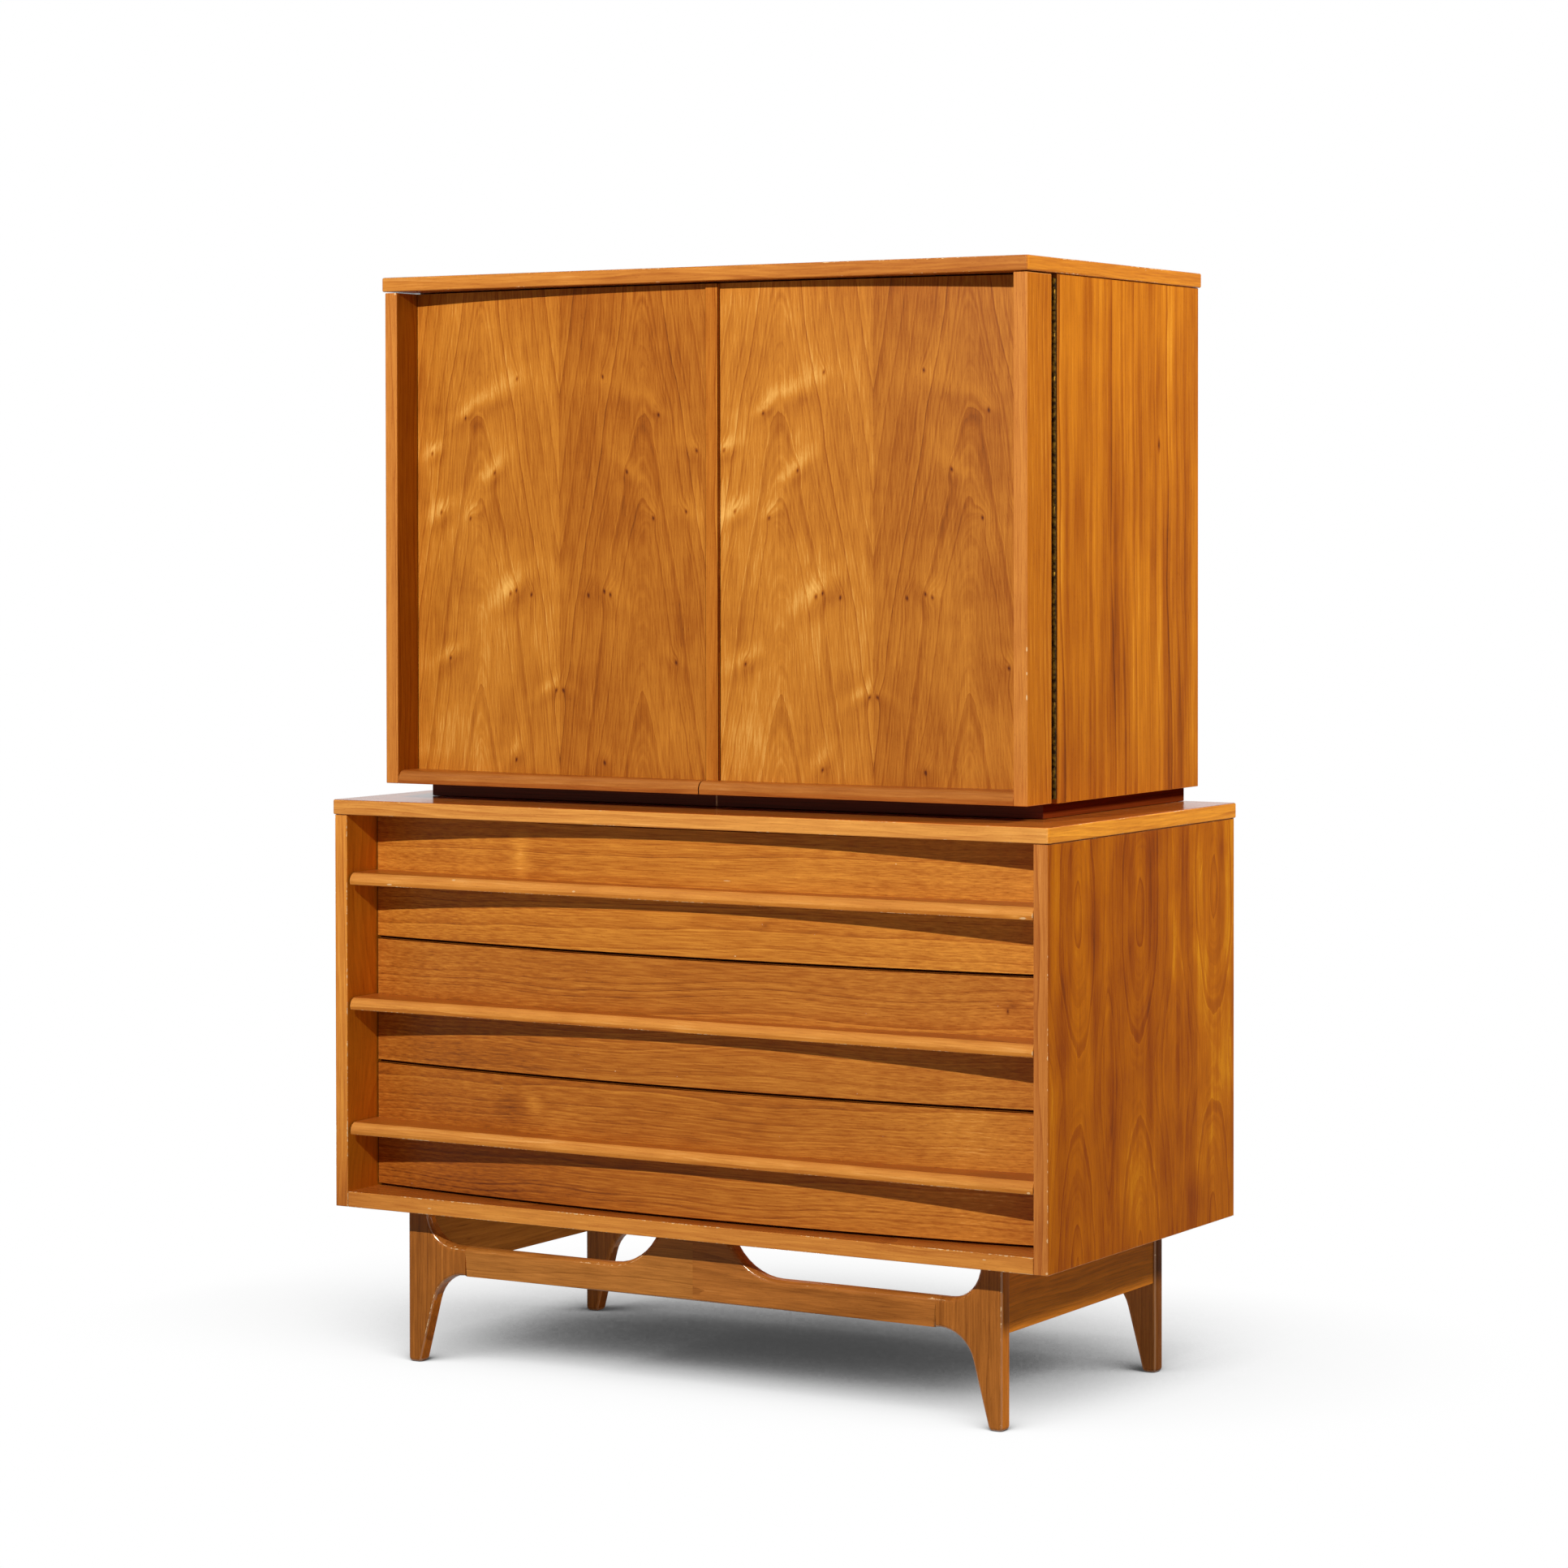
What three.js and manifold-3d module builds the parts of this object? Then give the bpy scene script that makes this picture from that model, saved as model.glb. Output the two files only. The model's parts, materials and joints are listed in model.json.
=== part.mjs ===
// A walnut highboy: a wide chest of three bow-fronted drawers on a scooped leg frame, and on it,
// set back on a dark recessed plinth, a cupboard with two bowed doors on piano hinges.
// Millimetres. +X is to the right seen from the front, +Y is towards the back, +Z is up.
// The origin is on the floor, under the middle of the chest.

import * as THREE from "three";
import { mergeVertices } from "three/addons/utils/BufferGeometryUtils.js";
import Module from "manifold-3d";

// Overall sizes
const chestWidth = 1016;
const chestDepth = 508;
const baseHeight = 196;
const chestCaseHeight = 495;
const slabThickness = 19;
const plinthHeight = 19;
const cupboardInset = 47.75;
const cupboardSetback = 42;
const cupboardCaseHeight = 620.5;
const topThickness = 18;

// Clearances
const seam = 0.3;
const drawerSideGap = 1.2;
const drawerGap = 2.4;
const doorHeadGap = 1.3;
const doorMeetingGap = 1.2;
const drawerEndGap = 6;
const runnerGap = 0.3;

// Case boards
const sideThickness = 18.3;
const chestFloorThickness = 19.5;
const cupboardBoardThickness = 18;
const backPanelThickness = 5;
const rabbetWidth = 9;
const slabOverhang = 2.7;
const topOverhang = 3.7;
const slabCornerRadius = 5;
const slabEase = 2;

// Drawers
const drawerCount = 3;
const drawerCrownSetback = 30;
const drawerBowDepth = 36;
const drawerFrontThickness = 18;
const drawerSideThickness = 12.7;
const drawerSideHeadroom = 11.4;
const drawerBackDrop = 12;
const drawerBottomThickness = 5;
const drawerBottomRise = 8;
const drawerLipSetback = 5.2;
const drawerLipTopRise = 84.9;
const drawerLipThickness = 15.6;
const drawerLipEndGap = 2;
const dustFrameThickness = 16;
const dustFrameRail = 60;
const dustFrameClearance = 2;

// Round nose of every lip
const noseReach = 11.8;
const noseDrop = 11;
const noseUndercut = 0.8;

// Doors
const doorCrownSetback = 66;
const doorBowDepth = 24;
const doorPanelThickness = 18;
const stileWidth = 18;
const stileVisibleDepth = 62;
const hingeRebateDepth = 6.7;
const doorFloorGap = 0.8;
const doorLipThickness = 16.6;
const doorLipSetback = 0.4;
const meetingStripLeft = 8.5;
const meetingStripWidth = 18.5;
const meetingStripProud = 4;
const doorInnerClearance = 3;

// Piano hinges
const knuckleRadius = 3.4;
const knucklePitch = 12.7;
const knuckleEndGap = 0.35;
const knucklePairs = 24;
const hingePinRadius = 1.2;
const hingeBoreRadius = 1.6;
const hingeLeafThickness = 1;
const hingeLeafWidth = 9.5;
const hingeLeafRelief = 0.4;

// Plinth, partition and shelves
const plinthFrontSetback = 120.6;
const plinthBackSetback = 3;
const plinthSideInset = 17.9;
const plinthBoardThickness = 19;
const shelfThickness = 16;
const shelfRise = 300;
const shelfBackGap = 2;
const shelfFrontSetback = 12;

// Leg frames
const legFrameInset = 83.6;
const legFrameThickness = 21.2;
const frontFrameSetback = 44.5;
const rearFrameSetback = 36.5;
const footWidth = 19.9;
const footCornerRadius = 5.5;
const legTaperPerHeight = 0.25;
const kneeRadius = 46;
const railDrop = 45;
const railHeight = 36;
const legBlankWidth = 88.4;
const hipRadius = 42;
const hipTopWidth = 30.9;
const scoopRadius = 75;
const scoopFoot = 120;
const roundedEdge = 7;
const legEdge = 5;
const easedEdge = 3;
const apronThickness = 19;
const apronInset = 3;
const apronHeight = 83.7;
const cleatWidth = 18;
const cleatHeight = 18.2;
const cleatEndGap = 25.5;

// Facet counts
const bowSteps = 20;
const doorBowSteps = 14;
const noseSteps = 4;
const arcSteps = 8;
const footSteps = 3;
const edgeSteps = 3;
const easeSteps = 2;
const knuckleSides = 8;

// Heights that the pieces share
const chestUnderTop = baseHeight + chestCaseHeight;
const chestTop = chestUnderTop + slabThickness;
const cupboardFloor = chestTop + plinthHeight;
const cupboardUnderTop = cupboardFloor + cupboardCaseHeight;
const chestFloorTop = baseHeight + chestFloorThickness;

// Planes that the pieces share, seen from above
const frontEdge = -chestDepth / 2;
const backEdge = chestDepth / 2;
const caseFront = frontEdge + slabOverhang;
const caseBack = backEdge - slabOverhang;
const caseHalf = chestWidth / 2 - slabOverhang;
const openingHalf = caseHalf - sideThickness;
const caseBackPanelFront = caseBack - backPanelThickness;
const cupboardWidth = chestWidth - 2 * cupboardInset;
const cupboardHalf = cupboardWidth / 2 - topOverhang;
const doorFront = frontEdge + cupboardSetback + topOverhang;
const stileBack = doorFront + stileVisibleDepth + hingeRebateDepth;
const hingeAxisY = stileBack + seam + knuckleRadius;
const hingeAxisX = cupboardHalf - knuckleRadius;
const cupboardFront = hingeAxisY + knuckleRadius + seam;
const cupboardBack = backEdge - topOverhang;
const cupboardBackPanelFront = cupboardBack - backPanelThickness;
const doorOpeningHalf = cupboardHalf - stileWidth;
const doorBottom = cupboardFloor + doorFloorGap;
const doorTop = cupboardUnderTop - doorHeadGap;
const drawerHalf = openingHalf - drawerSideGap;
const drawerBack = caseBackPanelFront - drawerEndGap;
const drawerSpace = chestUnderTop - chestFloorTop;
const drawerFrontHeight = (drawerSpace - (drawerCount + 1) * drawerGap) / drawerCount;
const drawerPitch = drawerFrontHeight + drawerGap;
const drawerSideHeight = drawerPitch - dustFrameThickness - runnerGap - drawerSideHeadroom;

function finish(name, colour, roughness, metalness = 0) {
  return new THREE.MeshStandardMaterial({ name, color: colour, roughness, metalness });
}

const walnutVeneer = finish("walnut_veneer", "#b06c2a", 0.42);
const walnutSolid = finish("walnut_solid", "#b8763a", 0.42);
const baseWalnut = finish("base_walnut", "#8f5b2b", 0.5);
const drawerWood = finish("drawer_wood", "#c79b63", 0.65);
const plywood = finish("plywood", "#b8915f", 0.75);
const darkPlinth = finish("dark_plinth", "#2a1712", 0.5);
const hingeBrass = finish("hinge_brass", "#8a7340", 0.45, 0.9);

// Turns every face outwards, whichever way the outline was drawn.
function faceOutwards(points, triangles) {
  const volume = triangles.reduce((sum, [a, b, c]) => {
    const normal = new THREE.Vector3().crossVectors(points[b], points[c]);
    return sum + points[a].dot(normal);
  }, 0);
  return volume > 0 ? triangles : triangles.map(([a, b, c]) => [a, c, b]);
}

function geometryOf(points, triangles) {
  const geometry = new THREE.BufferGeometry().setFromPoints(points);
  geometry.setIndex(triangles.flat());
  geometry.computeVertexNormals();
  return geometry;
}

function capOf(ring, flatten) {
  const flat = ring.map(flatten);
  const winding = Math.sign(THREE.ShapeUtils.area(flat));
  return THREE.ShapeUtils.triangulateShape(flat, []).map(([a, b, c]) => {
    const turn = Math.sign(THREE.ShapeUtils.area([flat[a], flat[b], flat[c]]));
    return turn === winding ? [a, b, c] : [a, c, b];
  });
}

// A closed body through rings of points, with a flat cap on the first ring and on the last.
// Where two rings share a point, the collapsed triangles between them are left out.
function loft(rings, flatten) {
  const count = rings[0].length;
  const points = rings.flat();
  const triangles = [];
  for (let ring = 0; ring < rings.length - 1; ring += 1) {
    for (let i = 0; i < count; i += 1) {
      const here = ring * count + i;
      const next = ring * count + ((i + 1) % count);
      triangles.push([here, next, next + count], [here, next + count, here + count]);
    }
  }
  const lastRing = (rings.length - 1) * count;
  capOf(rings[0], flatten).forEach(([a, b, c]) => triangles.push([a, c, b]));
  capOf(rings[rings.length - 1], flatten).forEach((face) => triangles.push(face.map((i) => i + lastRing)));
  const kept = triangles.filter(([a, b, c]) => {
    const same = (i, j) => points[i].equals(points[j]);
    return !same(a, b) && !same(b, c) && !same(c, a);
  });
  return geometryOf(points, faceOutwards(points, kept));
}

function piece(name, material, geometry, x = 0, y = 0, z = 0) {
  const mesh = new THREE.Mesh(geometry, material);
  mesh.name = name;
  mesh.position.set(x, y, z);
  return mesh;
}

// A plain board between two values on each axis.
function board(name, material, xs, ys, zs) {
  const [width, depth, height] = [xs, ys, zs].map(([low, high]) => high - low);
  const [x, y, z] = [xs, ys, zs].map(([low, high]) => (low + high) / 2);
  return piece(name, material, new THREE.BoxGeometry(width, depth, height), x, y, z);
}

// A board cut to an outline in plan and standing between two heights.
function upright(name, material, outline, zs) {
  const options = { depth: zs[1] - zs[0], bevelEnabled: false };
  const geometry = new THREE.ExtrudeGeometry(new THREE.Shape(outline), options);
  return piece(name, material, geometry, 0, 0, zs[0]);
}

function plan(...pairs) {
  return pairs.map(([x, y]) => new THREE.Vector2(x, y));
}

function spread(from, to, steps) {
  return Array.from({ length: steps + 1 }, (_, i) => from + ((to - from) * i) / steps);
}

function group(...children) {
  return new THREE.Group().add(...children);
}

// Solids that are joined, bored or cut out.
const wasm = await Module();
wasm.setup();

function solidOf(geometry) {
  const bare = geometry.clone();
  bare.deleteAttribute("normal");
  bare.deleteAttribute("uv");
  const merged = mergeVertices(bare);
  return new wasm.Manifold(
    new wasm.Mesh({
      numProp: 3,
      vertProperties: new Float32Array(merged.attributes.position.array),
      triVerts: new Uint32Array(merged.index.array),
    }),
  );
}

function geometryOfSolid(solid) {
  const { vertProperties, triVerts } = solid.getMesh();
  const geometry = new THREE.BufferGeometry();
  geometry.setAttribute("position", new THREE.BufferAttribute(vertProperties, 3));
  geometry.setIndex(new THREE.BufferAttribute(triVerts, 1));
  geometry.computeVertexNormals();
  return geometry;
}

function rod(radius, zs) {
  const geometry = new THREE.CylinderGeometry(radius, radius, zs[1] - zs[0], knuckleSides);
  geometry.rotateX(Math.PI / 2).translate(0, 0, (zs[0] + zs[1]) / 2);
  return solidOf(geometry);
}

function bar(xs, ys, zs) {
  const geometry = new THREE.BoxGeometry(xs[1] - xs[0], ys[1] - ys[0], zs[1] - zs[0]);
  geometry.translate((xs[0] + xs[1]) / 2, (ys[0] + ys[1]) / 2, (zs[0] + zs[1]) / 2);
  return solidOf(geometry);
}

// A flat frame of boards: an outer rectangle with rectangular windows in it.
function openFrame(name, material, xs, ys, zs, windows) {
  const height = zs[1] - zs[0];
  const cut = (solid, window) => solid.subtract(bar(window.xs, window.ys, [-height, 2 * height]));
  const solid = windows.reduce(cut, bar(xs, ys, [0, height]));
  return piece(name, material, geometryOfSolid(solid), 0, 0, zs[0]);
}

// The bow of the drawers and of the doors: furthest forward in the middle of the object.
function bowY(x, half, crownSetback, bowDepth) {
  return frontEdge + crownSetback + bowDepth * (x / half) ** 2;
}

function drawerBow(x) {
  return bowY(x, openingHalf, drawerCrownSetback, drawerBowDepth);
}

function doorBow(x) {
  return bowY(x, doorOpeningHalf, doorCrownSetback, doorBowDepth);
}

function bowedOutline(xs, steps, frontOf, backOf) {
  const places = spread(xs[0], xs[1], steps);
  const front = places.map((x) => new THREE.Vector2(x, frontOf(x)));
  const back = places.map((x) => new THREE.Vector2(x, backOf(x))).reverse();
  return [...front, ...back];
}

// A top board with rounded corners and eased edges.
function slab(name, width, depth, y, zs) {
  const half = { x: width / 2 - slabEase, y: depth / 2 - slabEase };
  const radius = slabCornerRadius - slabEase;
  const shape = new THREE.Shape();
  shape.absarc(half.x - radius, half.y - radius, radius, 0, Math.PI / 2);
  shape.absarc(radius - half.x, half.y - radius, radius, Math.PI / 2, Math.PI);
  shape.absarc(radius - half.x, radius - half.y, radius, Math.PI, Math.PI * 1.5);
  shape.absarc(half.x - radius, radius - half.y, radius, Math.PI * 1.5, Math.PI * 2);
  const geometry = new THREE.ExtrudeGeometry(shape, {
    depth: zs[1] - zs[0] - 2 * slabEase,
    curveSegments: footSteps,
    bevelThickness: slabEase,
    bevelSize: slabEase,
    bevelSegments: easeSteps,
  });
  return piece(name, walnutVeneer, geometry, 0, y, zs[0] + slabEase);
}

// A lip is a finger rail: flat on top and below, with a round nose and a crisp lower edge.
// Its front is straight, and its back is coped to the bow of the panel that it is glued to.
function lipRing(x, noseY, backY, bottom, thickness) {
  const top = bottom + thickness;
  const nose = spread(0, Math.PI / 2, noseSteps).map((angle) => [
    noseY + noseReach * (1 - Math.sin(angle)),
    top - noseDrop * (1 - Math.cos(angle)),
  ]);
  const section = [[backY, bottom], [backY, top], ...nose, [noseY + noseUndercut, bottom]];
  return section.map(([y, z]) => new THREE.Vector3(x, y, z));
}

function lip(name, places, noseY, backOf, bottom, thickness) {
  const rings = places.map((x) => lipRing(x, noseY, backOf(x), bottom, thickness));
  return piece(name, walnutSolid, loft(rings, (p) => new THREE.Vector2(p.y, p.z)));
}

// Directions round an arc, in degrees.
const straightUp = 90;
const leftward = 180;
const straightDown = 270;
const rightward = 360;

// The leg frames. An outline is a list of stretches, each with its points and edge rounding.
// A point marked flat lies on a glued joint or under the chest, where nothing is rounded.
function arcPoints(centreX, centreZ, radius, fromDegrees, toDegrees, steps) {
  return spread(fromDegrees, toDegrees, steps).map((degrees) => {
    const angle = THREE.MathUtils.degToRad(degrees);
    return [centreX + radius * Math.cos(angle), centreZ + radius * Math.sin(angle)];
  });
}

const legOuter = chestWidth / 2 - legFrameInset;
const legSplice = legOuter - legBlankWidth;
const railTop = baseHeight - railDrop;
const railUnderside = railTop - railHeight;
const baseTop = baseHeight - seam;

// The right leg, from the splice in the rail round the knee, the foot and the hip.
function legOutline() {
  const slope = Math.hypot(1, legTaperPerHeight);
  const footInner = legOuter - footWidth;
  const kneeZ = railUnderside - kneeRadius;
  const kneeX = footInner - legTaperPerHeight * kneeZ - kneeRadius * slope;
  const kneeEnd = THREE.MathUtils.radToDeg(Math.atan(legTaperPerHeight));
  const knee = arcPoints(kneeX, kneeZ, kneeRadius, straightUp, kneeEnd, arcSteps);
  const r = footCornerRadius;
  const innerToe = arcPoints(footInner + r, r, r, leftward + kneeEnd, straightDown, footSteps);
  const outerToe = arcPoints(legOuter - r, r, r, straightDown, rightward, footSteps);
  const hipX = legOuter - hipTopWidth - hipRadius;
  const hip = arcPoints(hipX, railTop + hipRadius, hipRadius, rightward, straightDown, arcSteps);
  return [
    { points: [[legSplice, railUnderside]], round: easedEdge, flat: true },
    { points: [...knee, ...innerToe, ...outerToe], round: legEdge },
    { points: [[legOuter, baseTop]], round: legEdge, flat: true },
    { points: [[legOuter - hipTopWidth, baseTop]], round: roundedEdge, flat: true },
    { points: hip, round: roundedEdge },
    { points: [[legSplice, railTop]], round: roundedEdge, flat: true },
  ];
}

// Half of the rail, from the middle of the object to the splice, with its scooped upper edge.
function railOutline() {
  const scoopZ = railTop + scoopRadius;
  const scoopRise = THREE.MathUtils.radToDeg(Math.acos((scoopZ - baseTop) / scoopRadius));
  const scoop = arcPoints(scoopFoot, scoopZ, scoopRadius, straightDown, straightDown - scoopRise, arcSteps);
  const [scoopEndX] = scoop.pop();
  return [
    { points: [[0, railUnderside]], round: easedEdge, flat: true },
    { points: [[legSplice, railUnderside]], round: easedEdge, flat: true },
    { points: [[legSplice, railTop]], round: roundedEdge, flat: true },
    { points: scoop, round: roundedEdge },
    { points: [[scoopEndX, baseTop]], round: roundedEdge, flat: true },
    { points: [[0, baseTop]], round: 0, flat: true },
  ];
}

// Which way a point of the outline moves as its edge is rounded, for one millimetre of rounding.
// On the outline's round edges that is square to both; at a flat one it slides along the flat.
function insetDirection(before, here, after) {
  const into = here.at.clone().sub(before.at).normalize();
  const out = after.at.clone().sub(here.at).normalize();
  const inward = (edge) => new THREE.Vector2(-edge.y, edge.x);
  if (here.flat && before.flat) {
    return into.clone().multiplyScalar(-1 / Math.abs(into.dot(inward(out))));
  }
  if (here.flat && after.flat) {
    return out.clone().multiplyScalar(1 / Math.abs(out.dot(inward(into))));
  }
  const sum = inward(into).add(inward(out));
  return sum.multiplyScalar(2 / sum.lengthSq());
}

function roundedFramePiece(name, outline, side) {
  const listed = outline.flatMap(({ points, round, flat = false }) =>
    points.map(([x, z]) => ({ at: new THREE.Vector2(x, z), round, flat })),
  );
  const count = listed.length;
  const moves = listed.map((point, i) =>
    insetDirection(listed[(i + count - 1) % count], point, listed[(i + 1) % count]),
  );
  const turns = spread(0, Math.PI / 2, edgeSteps);
  const ringAt = (turn, depthOf) =>
    listed.map(({ at, round }, i) => {
      const inset = moves[i].clone().multiplyScalar(round * (1 - Math.sin(turn)));
      const depth = round * (1 - Math.cos(turn));
      return new THREE.Vector3(side * (at.x + inset.x), depthOf(depth), at.y + inset.y);
    });
  const frontRings = turns.map((turn) => ringAt(turn, (depth) => depth));
  const backRings = [...turns].reverse().map((turn) => ringAt(turn, (depth) => legFrameThickness - depth));
  return piece(name, baseWalnut, loft([...frontRings, ...backRings], (p) => new THREE.Vector2(p.x, p.z)));
}

const sides = [
  { label: "left", sign: -1 },
  { label: "right", sign: 1 },
];

function legFrame(label, y) {
  const frame = new THREE.Group();
  sides.forEach((side) => {
    frame.add(roundedFramePiece(`${label}_${side.label}_leg`, legOutline(), side.sign));
    frame.add(roundedFramePiece(`${label}_rail_${side.label}`, railOutline(), side.sign));
  });
  frame.position.y = y;
  return frame;
}

function mirrored(values, sign) {
  return sign > 0 ? values : [-values[1], -values[0]];
}

function makeBase() {
  const frontFrameY = frontEdge + frontFrameSetback;
  const rearFrameY = backEdge - rearFrameSetback - legFrameThickness;
  const apronYs = [frontFrameY + legFrameThickness + seam, rearFrameY - seam];
  const apronXs = [legOuter - apronInset - apronThickness, legOuter - apronInset];
  const base = group(legFrame("front", frontFrameY), legFrame("rear", rearFrameY));
  sides.forEach(({ label, sign }) => {
    const xs = mirrored(apronXs, sign);
    base.add(board(`side_apron_${label}`, baseWalnut, xs, apronYs, [baseTop - apronHeight, baseTop]));
    const cleatXs = mirrored([apronXs[0] - seam - cleatWidth, apronXs[0] - seam], sign);
    const cleatYs = [apronYs[0] + cleatEndGap, apronYs[1] - cleatEndGap];
    base.add(board(`cleat_${label}`, baseWalnut, cleatXs, cleatYs, [baseTop - cleatHeight, baseTop]));
  });
  return base;
}

// A side board, rabbeted behind for the back panel.
function sideBoard(name, outerX, thickness, ys, zs, sign) {
  const inner = outerX - thickness;
  const rabbetX = inner + rabbetWidth;
  const rabbetY = ys[1] - backPanelThickness;
  const corners = [
    [inner, ys[0]],
    [outerX, ys[0]],
    [outerX, ys[1]],
    [rabbetX, ys[1]],
    [rabbetX, rabbetY],
    [inner, rabbetY],
  ];
  const outline = plan(...corners.map(([x, y]) => [sign * x, y]));
  return upright(name, walnutVeneer, outline, zs);
}

function dustFrame(name, topZ) {
  const half = openingHalf - seam;
  const front = drawerBow(openingHalf) + drawerFrontThickness + dustFrameClearance;
  const back = caseBackPanelFront - seam;
  const windows = sides.map(({ sign }) => ({
    xs: mirrored([dustFrameRail / 2, half - dustFrameRail], sign),
    ys: [front + dustFrameRail, back - dustFrameRail],
  }));
  const zs = [topZ - dustFrameThickness, topZ];
  return openFrame(name, drawerWood, [-half, half], [front, back], zs, windows);
}

function drawerFloorZ(index) {
  return chestFloorTop + drawerGap + index * drawerPitch;
}

function makeChest() {
  const caseZs = [baseHeight, chestUnderTop - seam];
  const chest = group(slab("chest_top", chestWidth, chestDepth, 0, [chestUnderTop, chestTop]));
  sides.forEach(({ label, sign }) => {
    const name = `chest_side_${label}`;
    chest.add(sideBoard(name, caseHalf, sideThickness, [caseFront, caseBack], caseZs, sign));
  });
  const innerHalf = openingHalf - seam;
  const floorYs = [caseFront, caseBackPanelFront - seam];
  const floorZs = [baseHeight, chestFloorTop];
  chest.add(board("chest_floor", walnutSolid, [-innerHalf, innerHalf], floorYs, floorZs));
  const backHalf = openingHalf + rabbetWidth - seam;
  const backYs = [caseBackPanelFront, caseBack];
  chest.add(board("chest_back", plywood, [-backHalf, backHalf], backYs, caseZs));
  chest.add(dustFrame("dust_frame_lower", drawerFloorZ(1) - drawerGap));
  chest.add(dustFrame("dust_frame_upper", drawerFloorZ(2) - drawerGap));
  return chest;
}

// One drawer: bowed front, lip, two sides that butt against the front's curve, back and bottom.
function makeDrawer(label, index) {
  const frontZ = drawerFloorZ(index);
  const runnerZ = frontZ - drawerGap;
  const boxZ = runnerZ + runnerGap;
  const backOfFront = (x) => drawerBow(x) + drawerFrontThickness;
  const front = bowedOutline([-drawerHalf, drawerHalf], bowSteps, drawerBow, backOfFront);
  const drawer = group(
    upright(`${label}_drawer_front`, walnutVeneer, front, [frontZ, frontZ + drawerFrontHeight]),
  );
  const lipHalf = openingHalf - drawerLipEndGap;
  const lipBottom = frontZ + drawerLipTopRise - drawerLipThickness;
  const lipBack = (x) => drawerBow(x) - seam;
  const lipPlaces = spread(-lipHalf, lipHalf, bowSteps);
  const lipNose = frontEdge + drawerLipSetback;
  drawer.add(lip(`${label}_drawer_lip`, lipPlaces, lipNose, lipBack, lipBottom, drawerLipThickness));
  const sideInner = drawerHalf - drawerSideThickness;
  sides.forEach((side) => {
    const outline = plan(
      [side.sign * sideInner, backOfFront(sideInner) + seam],
      [side.sign * drawerHalf, backOfFront(drawerHalf) + seam],
      [side.sign * drawerHalf, drawerBack],
      [side.sign * sideInner, drawerBack],
    );
    drawer.add(
      upright(`${label}_drawer_side_${side.label}`, drawerWood, outline, [boxZ, boxZ + drawerSideHeight]),
    );
  });
  const innerHalf = sideInner - seam;
  const bottomZ = boxZ + drawerBottomRise;
  const bottomTop = bottomZ + drawerBottomThickness;
  const bottomFront = (x) => backOfFront(x) + seam;
  const bottom = bowedOutline([-innerHalf, innerHalf], bowSteps, bottomFront, () => drawerBack);
  drawer.add(upright(`${label}_drawer_bottom`, plywood, bottom, [bottomZ, bottomTop]));
  const backYs = [drawerBack - drawerSideThickness, drawerBack];
  const backZs = [bottomTop + seam, boxZ + drawerSideHeight - drawerBackDrop];
  drawer.add(board(`${label}_drawer_back`, drawerWood, [-innerHalf, innerHalf], backYs, backZs));
  return drawer;
}

function makePlinth() {
  const half = cupboardHalf - plinthSideInset;
  const ys = [frontEdge + plinthFrontSetback, cupboardBack - plinthBackSetback];
  const inner = half - plinthBoardThickness;
  const innerYs = [ys[0] + plinthBoardThickness, ys[1] - plinthBoardThickness];
  const zs = [chestTop + seam, cupboardFloor - seam];
  return openFrame("plinth", darkPlinth, [-half, half], ys, zs, [{ xs: [-inner, inner], ys: innerYs }]);
}

function makeCupboard() {
  const topDepth = chestDepth - cupboardSetback;
  const cupboard = group(
    slab("cupboard_top", cupboardWidth, topDepth, backEdge - topDepth / 2, [
      cupboardUnderTop,
      cupboardUnderTop + topThickness,
    ]),
  );
  const sideYs = [cupboardFront, cupboardBack];
  const caseZs = [cupboardFloor, cupboardUnderTop - seam];
  sides.forEach(({ label, sign }) => {
    const name = `cupboard_side_${label}`;
    cupboard.add(sideBoard(name, cupboardHalf, cupboardBoardThickness, sideYs, caseZs, sign));
  });
  const inner = cupboardHalf - cupboardBoardThickness;
  const floorHalf = inner - seam;
  const panelFront = cupboardBackPanelFront - seam;
  const floorFront = (x) => doorBow(x) + doorPanelThickness + doorInnerClearance;
  const floorOutline = bowedOutline([-floorHalf, floorHalf], doorBowSteps, floorFront, () => panelFront);
  const floorTop = cupboardFloor + cupboardBoardThickness;
  cupboard.add(upright("cupboard_floor", walnutVeneer, floorOutline, [cupboardFloor, floorTop]));
  const backHalf = inner + rabbetWidth - seam;
  const backYs = [cupboardBackPanelFront, cupboardBack];
  cupboard.add(board("cupboard_back", plywood, [-backHalf, backHalf], backYs, caseZs));
  const partitionHalf = cupboardBoardThickness / 2;
  const partitionZs = [floorTop + seam, caseZs[1]];
  const partitionYs = [cupboardFront, panelFront];
  const partitionXs = [-partitionHalf, partitionHalf];
  cupboard.add(board("cupboard_partition", walnutVeneer, partitionXs, partitionYs, partitionZs));
  const shelfYs = [cupboardFront + shelfFrontSetback, cupboardBackPanelFront - shelfBackGap];
  const shelfZs = [floorTop + shelfRise, floorTop + shelfRise + shelfThickness];
  sides.forEach(({ label, sign }) => {
    const xs = mirrored([partitionHalf + seam, inner - seam], sign);
    cupboard.add(board(`shelf_${label}`, walnutVeneer, xs, shelfYs, shelfZs));
  });
  return cupboard;
}

// The outer stile of a door: a deep board on edge, rebated behind so that the knuckles sit in it.
function doorStile(label, sign) {
  const outer = cupboardHalf;
  const rebateX = outer - 2 * knuckleRadius;
  const rebateY = doorFront + stileVisibleDepth;
  const corners = [
    [outer - stileWidth, doorFront],
    [outer, doorFront],
    [outer, rebateY],
    [rebateX, rebateY],
    [rebateX, stileBack],
    [outer - stileWidth, stileBack],
  ];
  const outline = plan(...corners.map(([x, y]) => [sign * x, y]));
  return upright(`${label}_door_stile`, walnutSolid, outline, [doorBottom, doorTop]);
}

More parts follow.
